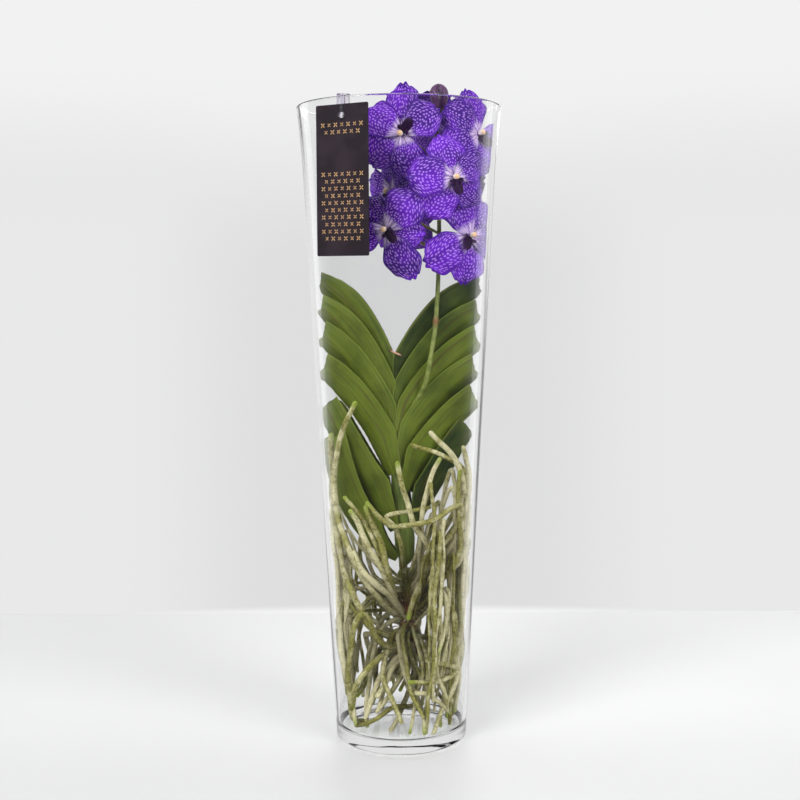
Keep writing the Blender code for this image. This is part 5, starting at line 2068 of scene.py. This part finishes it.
    def column(self, towards_lip: Matrix) -> Patch:
        """The stubby column with its cap and the hollow under it.

        Args:
            towards_lip: the bloom's axes with X turned towards the lip.

        Returns:
            The closed column, which carries the number along.
        """
        def rule(share: float, angle: float) -> Sequence[float]:
            """One point of the column.

            Args:
                share: share of the way from foot to cap.
                angle: the angle from the side of the lip.

            Returns:
                The point, then its share of the height.
            """
            z = (1.0 - cos(pi * share)) / 2.0
            radius = self.column_radius * sin(pi * share) ** 0.75
            radius *= 1.0 + 0.12 * exp(-((z - 0.8) / 0.10) ** 2) - 0.14 * exp(-((z - 0.62) / 0.07) ** 2)
            hollow = 0.45 * exp(-((z - 0.50) / 0.13) ** 2) * max(0.0, cos(angle)) ** 4
            reach = max(radius * (1.0 - hollow), self.least_radius)
            spot = Vector((reach * cos(angle) - self.column_offset, reach * sin(angle),
                           self.hub_half_depth + GAP + z * self.column_length))
            return (*(towards_lip @ spot), z)

        return rounded(*self.column_steps, ("along",), rule)

    def hub(self, axes: Matrix) -> Patch:
        """The small violet knot where the tepals meet.

        Args:
            axes: the bloom's axes.

        Returns:
            The closed knot.
        """
        def rule(share: float, angle: float) -> Sequence[float]:
            """One point of the knot.

            Args:
                share: share of the way along the knot.
                angle: the angle round it.

            Returns:
                The point, then the tepals' two numbers.
            """
            radius = max(self.hub_radius * sin(pi * share), self.least_radius)
            spot = Vector((radius * cos(angle), radius * sin(angle), -self.hub_half_depth * cos(pi * share)))
            return (*(axes @ spot), 0.4, 0.0)

        patch = rounded(*self.hub_steps, ("phase", "back"), rule)
        patch.place[:] = (0.5, 0.16)
        return patch

    def build(self) -> None:
        """Build every bloom."""
        for index, bloom in enumerate(self.blooms):
            draw = random.Random(self.seed + index)
            axes = self.axes_of(bloom)
            patches = [self.tepal(axes, bloom, number, draw) for number in range(len(self.layout))]
            tepals = Piece(BloomPart.TEPALS.of(bloom), self.skin, "violet_tepals", (bloom.name,))
            tepals.stand(Patch.join(patches + [self.hub(axes)]))
            towards_lip = axes @ Matrix.Rotation(radians(bloom.roll), 4, "Z")
            Piece(BloomPart.LIP.of(bloom), self.lip_skin, "violet_tepals").stand(self.lip(towards_lip))
            packed = (bloom.name + "_column",)
            column = Piece(BloomPart.COLUMN.of(bloom), self.wax, "cream_column", packed, 70.0)
            column.stand(self.column(towards_lip))


@dataclass
class FlowerStalk:
    """The flower stalk with its node, and a pedicel to each bloom and to the bud."""

    radius: float = 0.0024
    taper: float = 0.35
    step: float = 0.0025
    coarse_step: float = 0.020
    pedicel_radius: float = 0.0013
    pedicel_flare: float = 0.25
    pedicel_run: float = 0.016
    pedicel_drop: float = 0.014
    node_height: float = 0.402
    node_length: float = 0.004
    node_swell: float = 0.38
    strand: Strand = Strand(14, 0.006, 0.12, 0.00008)
    finish: Finish = StalkSkin()
    route: Tuple[Point, ...] = (
        (-3, -5.9, 292), (4, -7, 306), (12, -8, 321), (19, -12, 333), (24, -19, 345), (28, -23, 366),
        (33, -21, 398), (36, -17, 448), (37, -8, 500), (36, -4, 550), (35, -4, 588),
    )

    def build(self, blooms: Blooms, bud: "Bud") -> None:
        """Grow the stalk and pedicels as strands and hand them over.

        Args:
            blooms: the blooms that the pedicels carry.
            bud: the bud on the last pedicel.
        """
        route = [Vector(point) * MM for point in self.route]
        path = smooth_path(route, self.step)
        last = len(path) - 1
        lines, girth, tint = [path], [], []
        for index, point in enumerate(path):
            bulge = exp(-((point.z - self.node_height) / self.node_length) ** 2)
            girth.append(self.radius * (1.0 - self.taper * index / last) * (1.0 + self.node_swell * bulge))
            tint.append(min(1.0, 0.9 * bulge + 0.35 * (index / last) ** 3))
        coarse = smooth_path(route, self.coarse_step)
        for bloom in blooms.blooms:
            axes = blooms.axes_of(bloom)
            back = axes @ (UP * -(blooms.hub_half_depth + GAP))
            behind = axes @ (UP * -self.pedicel_run)
            start = min(coarse, key=lambda point: abs(point.z - (back.z - self.pedicel_drop)))
            lines.append(smooth_path([start, (start + behind * 2.0) / 3.0, behind, back], self.step))
        foot = Vector(bud.centre) * MM - UP * (bud.length / 2.0 + GAP)
        lines.append(smooth_path([path[-2], (path[-1] + foot) / 2.0, foot], self.step))
        for line in lines[1:]:
            for share in (index / (len(line) - 1) for index in range(len(line))):
                girth.append(self.pedicel_radius * (1.0 + self.pedicel_flare * share ** 3))
                tint.append(0.15 + 0.55 * share)
        piece = Piece("olive_flower_stalk", self.finish, "stalk_green", ("flower_stalk",))
        self.strand.grow(piece, lines, {"girth": girth, "tint": tint})


@dataclass
class Bud:
    """The closed bud: three sepals folded over each other, widest above the middle."""

    centre: Point = (37, -12, 606)
    width: float = 0.017
    depth: float = 0.0136
    length: float = 0.027
    swell: float = 0.35
    stations: int = 34
    sides: int = 36
    seam: float = 0.40
    turn: float = 0.45
    point: float = 0.12
    least_share: float = 0.004
    finish: Finish = BudSkin()

    def spot(self, share: float, angle: float) -> Sequence[float]:
        """A point of the bud's skin.

        Args:
            share: share of the way along the bud.
            angle: the angle round it.

        Returns:
            The point, then the share of the height and how high the point is on a ridge.
        """
        z = -cos(pi * share)
        fold = abs(cos(1.5 * angle + 0.7 * z + self.turn))
        body = max(sin(pi * share), self.least_share) * (1.0 + self.swell * z)
        body *= (1.0 - self.seam * (1.0 - fold) ** 3) * (1.0 - self.point * max(0.0, z) ** 2)
        half = Vector((body * cos(angle) * self.width, body * sin(angle) * self.depth, z * self.length)) / 2.0
        return (*(Vector(self.centre) * MM + half), (z + 1.0) / 2.0, fold)

    def build(self) -> None:
        """Loft the bud and hand it over."""
        shape = rounded(self.stations, self.sides, ("along", "tint"), self.spot)
        Piece("folded_bud", self.finish, "bud_violet", ("bud",), 70.0).stand(shape)


@dataclass
class DryStub:
    """The dry end of an old flower stalk, across the two highest leaves."""

    radius: float = 0.0010
    reach: float = 0.0012
    step: float = 0.001
    bow: float = 0.0002
    strand: Strand = Strand(12, 0.003, 0.8, 0.0003)
    finish: Finish = DryHusk()

    def build(self) -> None:
        """Loft the stub between the ends of its solid and hand it over."""
        low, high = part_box("dry_stub")
        depth = (low.y + high.y) / 2.0
        start = Vector((low.x + self.reach, depth, high.z - self.reach))
        end = Vector((high.x - self.reach, depth, low.z + self.reach))
        middle = (start + end) / 2.0 + Vector((0.0, -self.bow, 0.0))
        path = smooth_path([start, middle, end], self.step)
        girth = [self.radius * (0.9 + 0.25 * sin(2.1 * index)) for index in range(len(path))]
        piece = Piece("shrivelled_stub", self.finish, "dry_brown", ("dry_stub",))
        self.strand.grow(piece, [path], {"girth": girth})


@dataclass(frozen=True)
class SoftPanel:
    """A large soft light that the camera doesn't see: place, aim, size and power in watts."""

    name: str
    place: Point
    aim: Point
    size: Pair
    power: float


@dataclass(frozen=True)
class Backdrop:
    """Pale backdrop: what is seen straight or through glass, what is mirrored, and what lights the set."""

    high: Colour = tone(242, 242, 243)
    middle: Colour = tone(222, 222, 223)
    side: Colour = tone(233, 233, 234)
    line: Colour = tone(247, 247, 247)
    mirrored_front: float = 0.10
    mirrored_back: float = 0.80
    lighting: float = 0.25
    line_bottom: float = -0.2560
    line_top: float = -0.2490

    def surface(self, graph: Graph) -> Signal:
        """The world's shader.

        Args:
            graph: the world's nodes.

        Returns:
            The shader.
        """
        x, y, z = graph.split(graph.add("ShaderNodeTexCoord", output="Generated"))
        colour = graph.mix(graph.smooth(z, 0.0, 0.16), self.middle, self.high)
        colour = graph.mix(graph.smooth(abs(x), 0.08, 0.22) * graph.smooth(z, 0.16, 0.02), colour, self.side)
        colour = graph.mix(graph.smooth(z, self.line_top, self.line_bottom), colour, self.line)
        first = graph.ray("Diffuse Depth") < 0.5
        through = graph.ray("Is Transmission Ray")
        seen = graph.math("MAXIMUM", graph.ray("Is Camera Ray"), through) * (
            first * (graph.ray("Glossy Depth") < 0.5))
        glossy = graph.math("MAXIMUM", graph.ray("Is Reflection Ray"), through) * first * (
            graph.ray("Glossy Depth") > 0.5)
        bright = graph.math("MAXIMUM", graph.smooth(y, 0.1, 0.75), graph.smooth(z, 0.35, 0.8))
        mirrored = bright * (self.mirrored_back - self.mirrored_front) + (self.mirrored_front - self.lighting)
        strength = (glossy * mirrored + self.lighting) * (1.0 - through * (1.0 - first))
        ambient = graph.add("ShaderNodeBackground", {"Color": (1.0, 1.0, 1.0, 1.0), "Strength": strength})
        shown = graph.add("ShaderNodeBackground", {"Color": colour, "Strength": 1.0})
        return graph.add("ShaderNodeMixShader", {0: seen, 1: ambient, 2: shown})


@dataclass
class Studio:
    """Plain pale floor, soft light and the camera at the photograph's viewing angle."""

    camera_distance: float = 1.219
    camera_height: float = 0.444
    camera_pitch: float = radians(5.5)
    camera_roll: float = radians(-0.256)
    focal_pixels: float = 1290.0
    picture_pixels: float = 800.0
    sensor_mm: float = 36.0
    floor_half_width: float = 2.0
    floor_front: float = -1.9
    floor_back: float = 0.458
    floor_drop: float = 0.0006
    floor_finish: Finish = StudioPaint()
    backdrop: Backdrop = Backdrop()
    panels: Tuple[SoftPanel, ...] = (
        SoftPanel("key_panel", (-1.4, -1.9, 1.7), (0.0, 0.0, 0.35), (1.2, 1.2), 46.0),
        SoftPanel("fill_panel", (1.8, -1.6, 1.2), (0.0, 0.0, 0.3), (1.2, 1.2), 28.0),
        SoftPanel("top_panel", (0.0, 0.3, 2.4), (0.0, 0.0, 0.3), (1.8, 1.8), 9.0),
        SoftPanel("back_panel", (0.4, 2.3, 1.5), (0.0, 0.0, 0.3), (1.6, 1.6), 12.0),
        SoftPanel("left_strip", (-1.30, 0.95, 0.55), (0.0, 0.0, 0.40), (0.4, 1.9), 2.0),
        SoftPanel("right_strip", (1.30, 0.75, 0.55), (0.0, 0.0, 0.40), (0.5, 1.9), 3.0),
    )

    def build_camera(self) -> None:
        """Place the camera and make it the scene's own."""
        lens = bpy.data.cameras.new("photo_camera")
        lens.sensor_width = self.sensor_mm
        lens.sensor_fit = "HORIZONTAL"
        lens.lens = self.sensor_mm * self.focal_pixels / self.picture_pixels
        camera = put("photo_camera", lens)
        pitch = Matrix.Rotation(pi / 2.0 - self.camera_pitch, 4, "X")
        roll = Matrix.Rotation(self.camera_roll, 4, "Z")
        place = Matrix.Translation((0.0, -self.camera_distance, self.camera_height))
        camera.matrix_world = place @ pitch @ roll
        bpy.context.scene.camera = camera

    def build_floor(self) -> None:
        """Lay the floor: a wide pale table that ends a little behind the vase."""
        mesh = bpy.data.meshes.new("studio_floor")
        wide, front, back, low = self.floor_half_width, self.floor_front, self.floor_back, -self.floor_drop
        corners = [(-wide, front, low), (wide, front, low), (wide, back, low), (-wide, back, low)]
        mesh.from_pydata(corners, [], [(0, 1, 2, 3)])
        mesh.materials.append(self.floor_finish.make())
        put("studio_floor", mesh)

    def build_lights(self) -> None:
        """Hang the soft panels, which the camera doesn't see."""
        for panel in self.panels:
            lamp = bpy.data.lights.new(panel.name, "AREA")
            lamp.shape = "RECTANGLE"
            lamp.size, lamp.size_y = panel.size
            lamp.energy = panel.power
            light = put(panel.name, lamp)
            turn = (Vector(panel.aim) - Vector(panel.place)).to_track_quat("-Z", "Y").to_matrix().to_4x4()
            light.matrix_world = Matrix.Translation(panel.place) @ turn
            light.visible_camera = False
            light.visible_transmission = False

    def build_world(self) -> None:
        """Surround the set with the backdrop."""
        world = bpy.data.worlds.new("pale studio")
        world.use_nodes = True
        world.node_tree.nodes.clear()
        graph = Graph(world.node_tree)
        graph.node("ShaderNodeOutputWorld", {"Surface": self.backdrop.surface(graph)})
        bpy.context.scene.world = world

    def build(self) -> None:
        """Build the whole set."""
        self.build_camera()
        self.build_floor()
        self.build_lights()
        self.build_world()
        bpy.context.scene.view_settings.view_transform = "Standard"
        LOG.info("studio: camera, floor, %d lights and backdrop", len(self.panels))


def main() -> None:
    """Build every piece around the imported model, then the studio."""
    logging.basicConfig(level=logging.INFO, format="%(name)s: %(message)s")
    Vase().build()
    HangingCard().build()
    LeafFan().build()
    Shoot().build()
    RootBunch().build()
    OldStem().build()
    FibreClump().build()
    blooms, bud = Blooms(), Bud()
    blooms.build()
    FlowerStalk().build(blooms, bud)
    bud.build()
    DryStub().build()
    Studio().build()


if __name__ == "__main__":
    main()
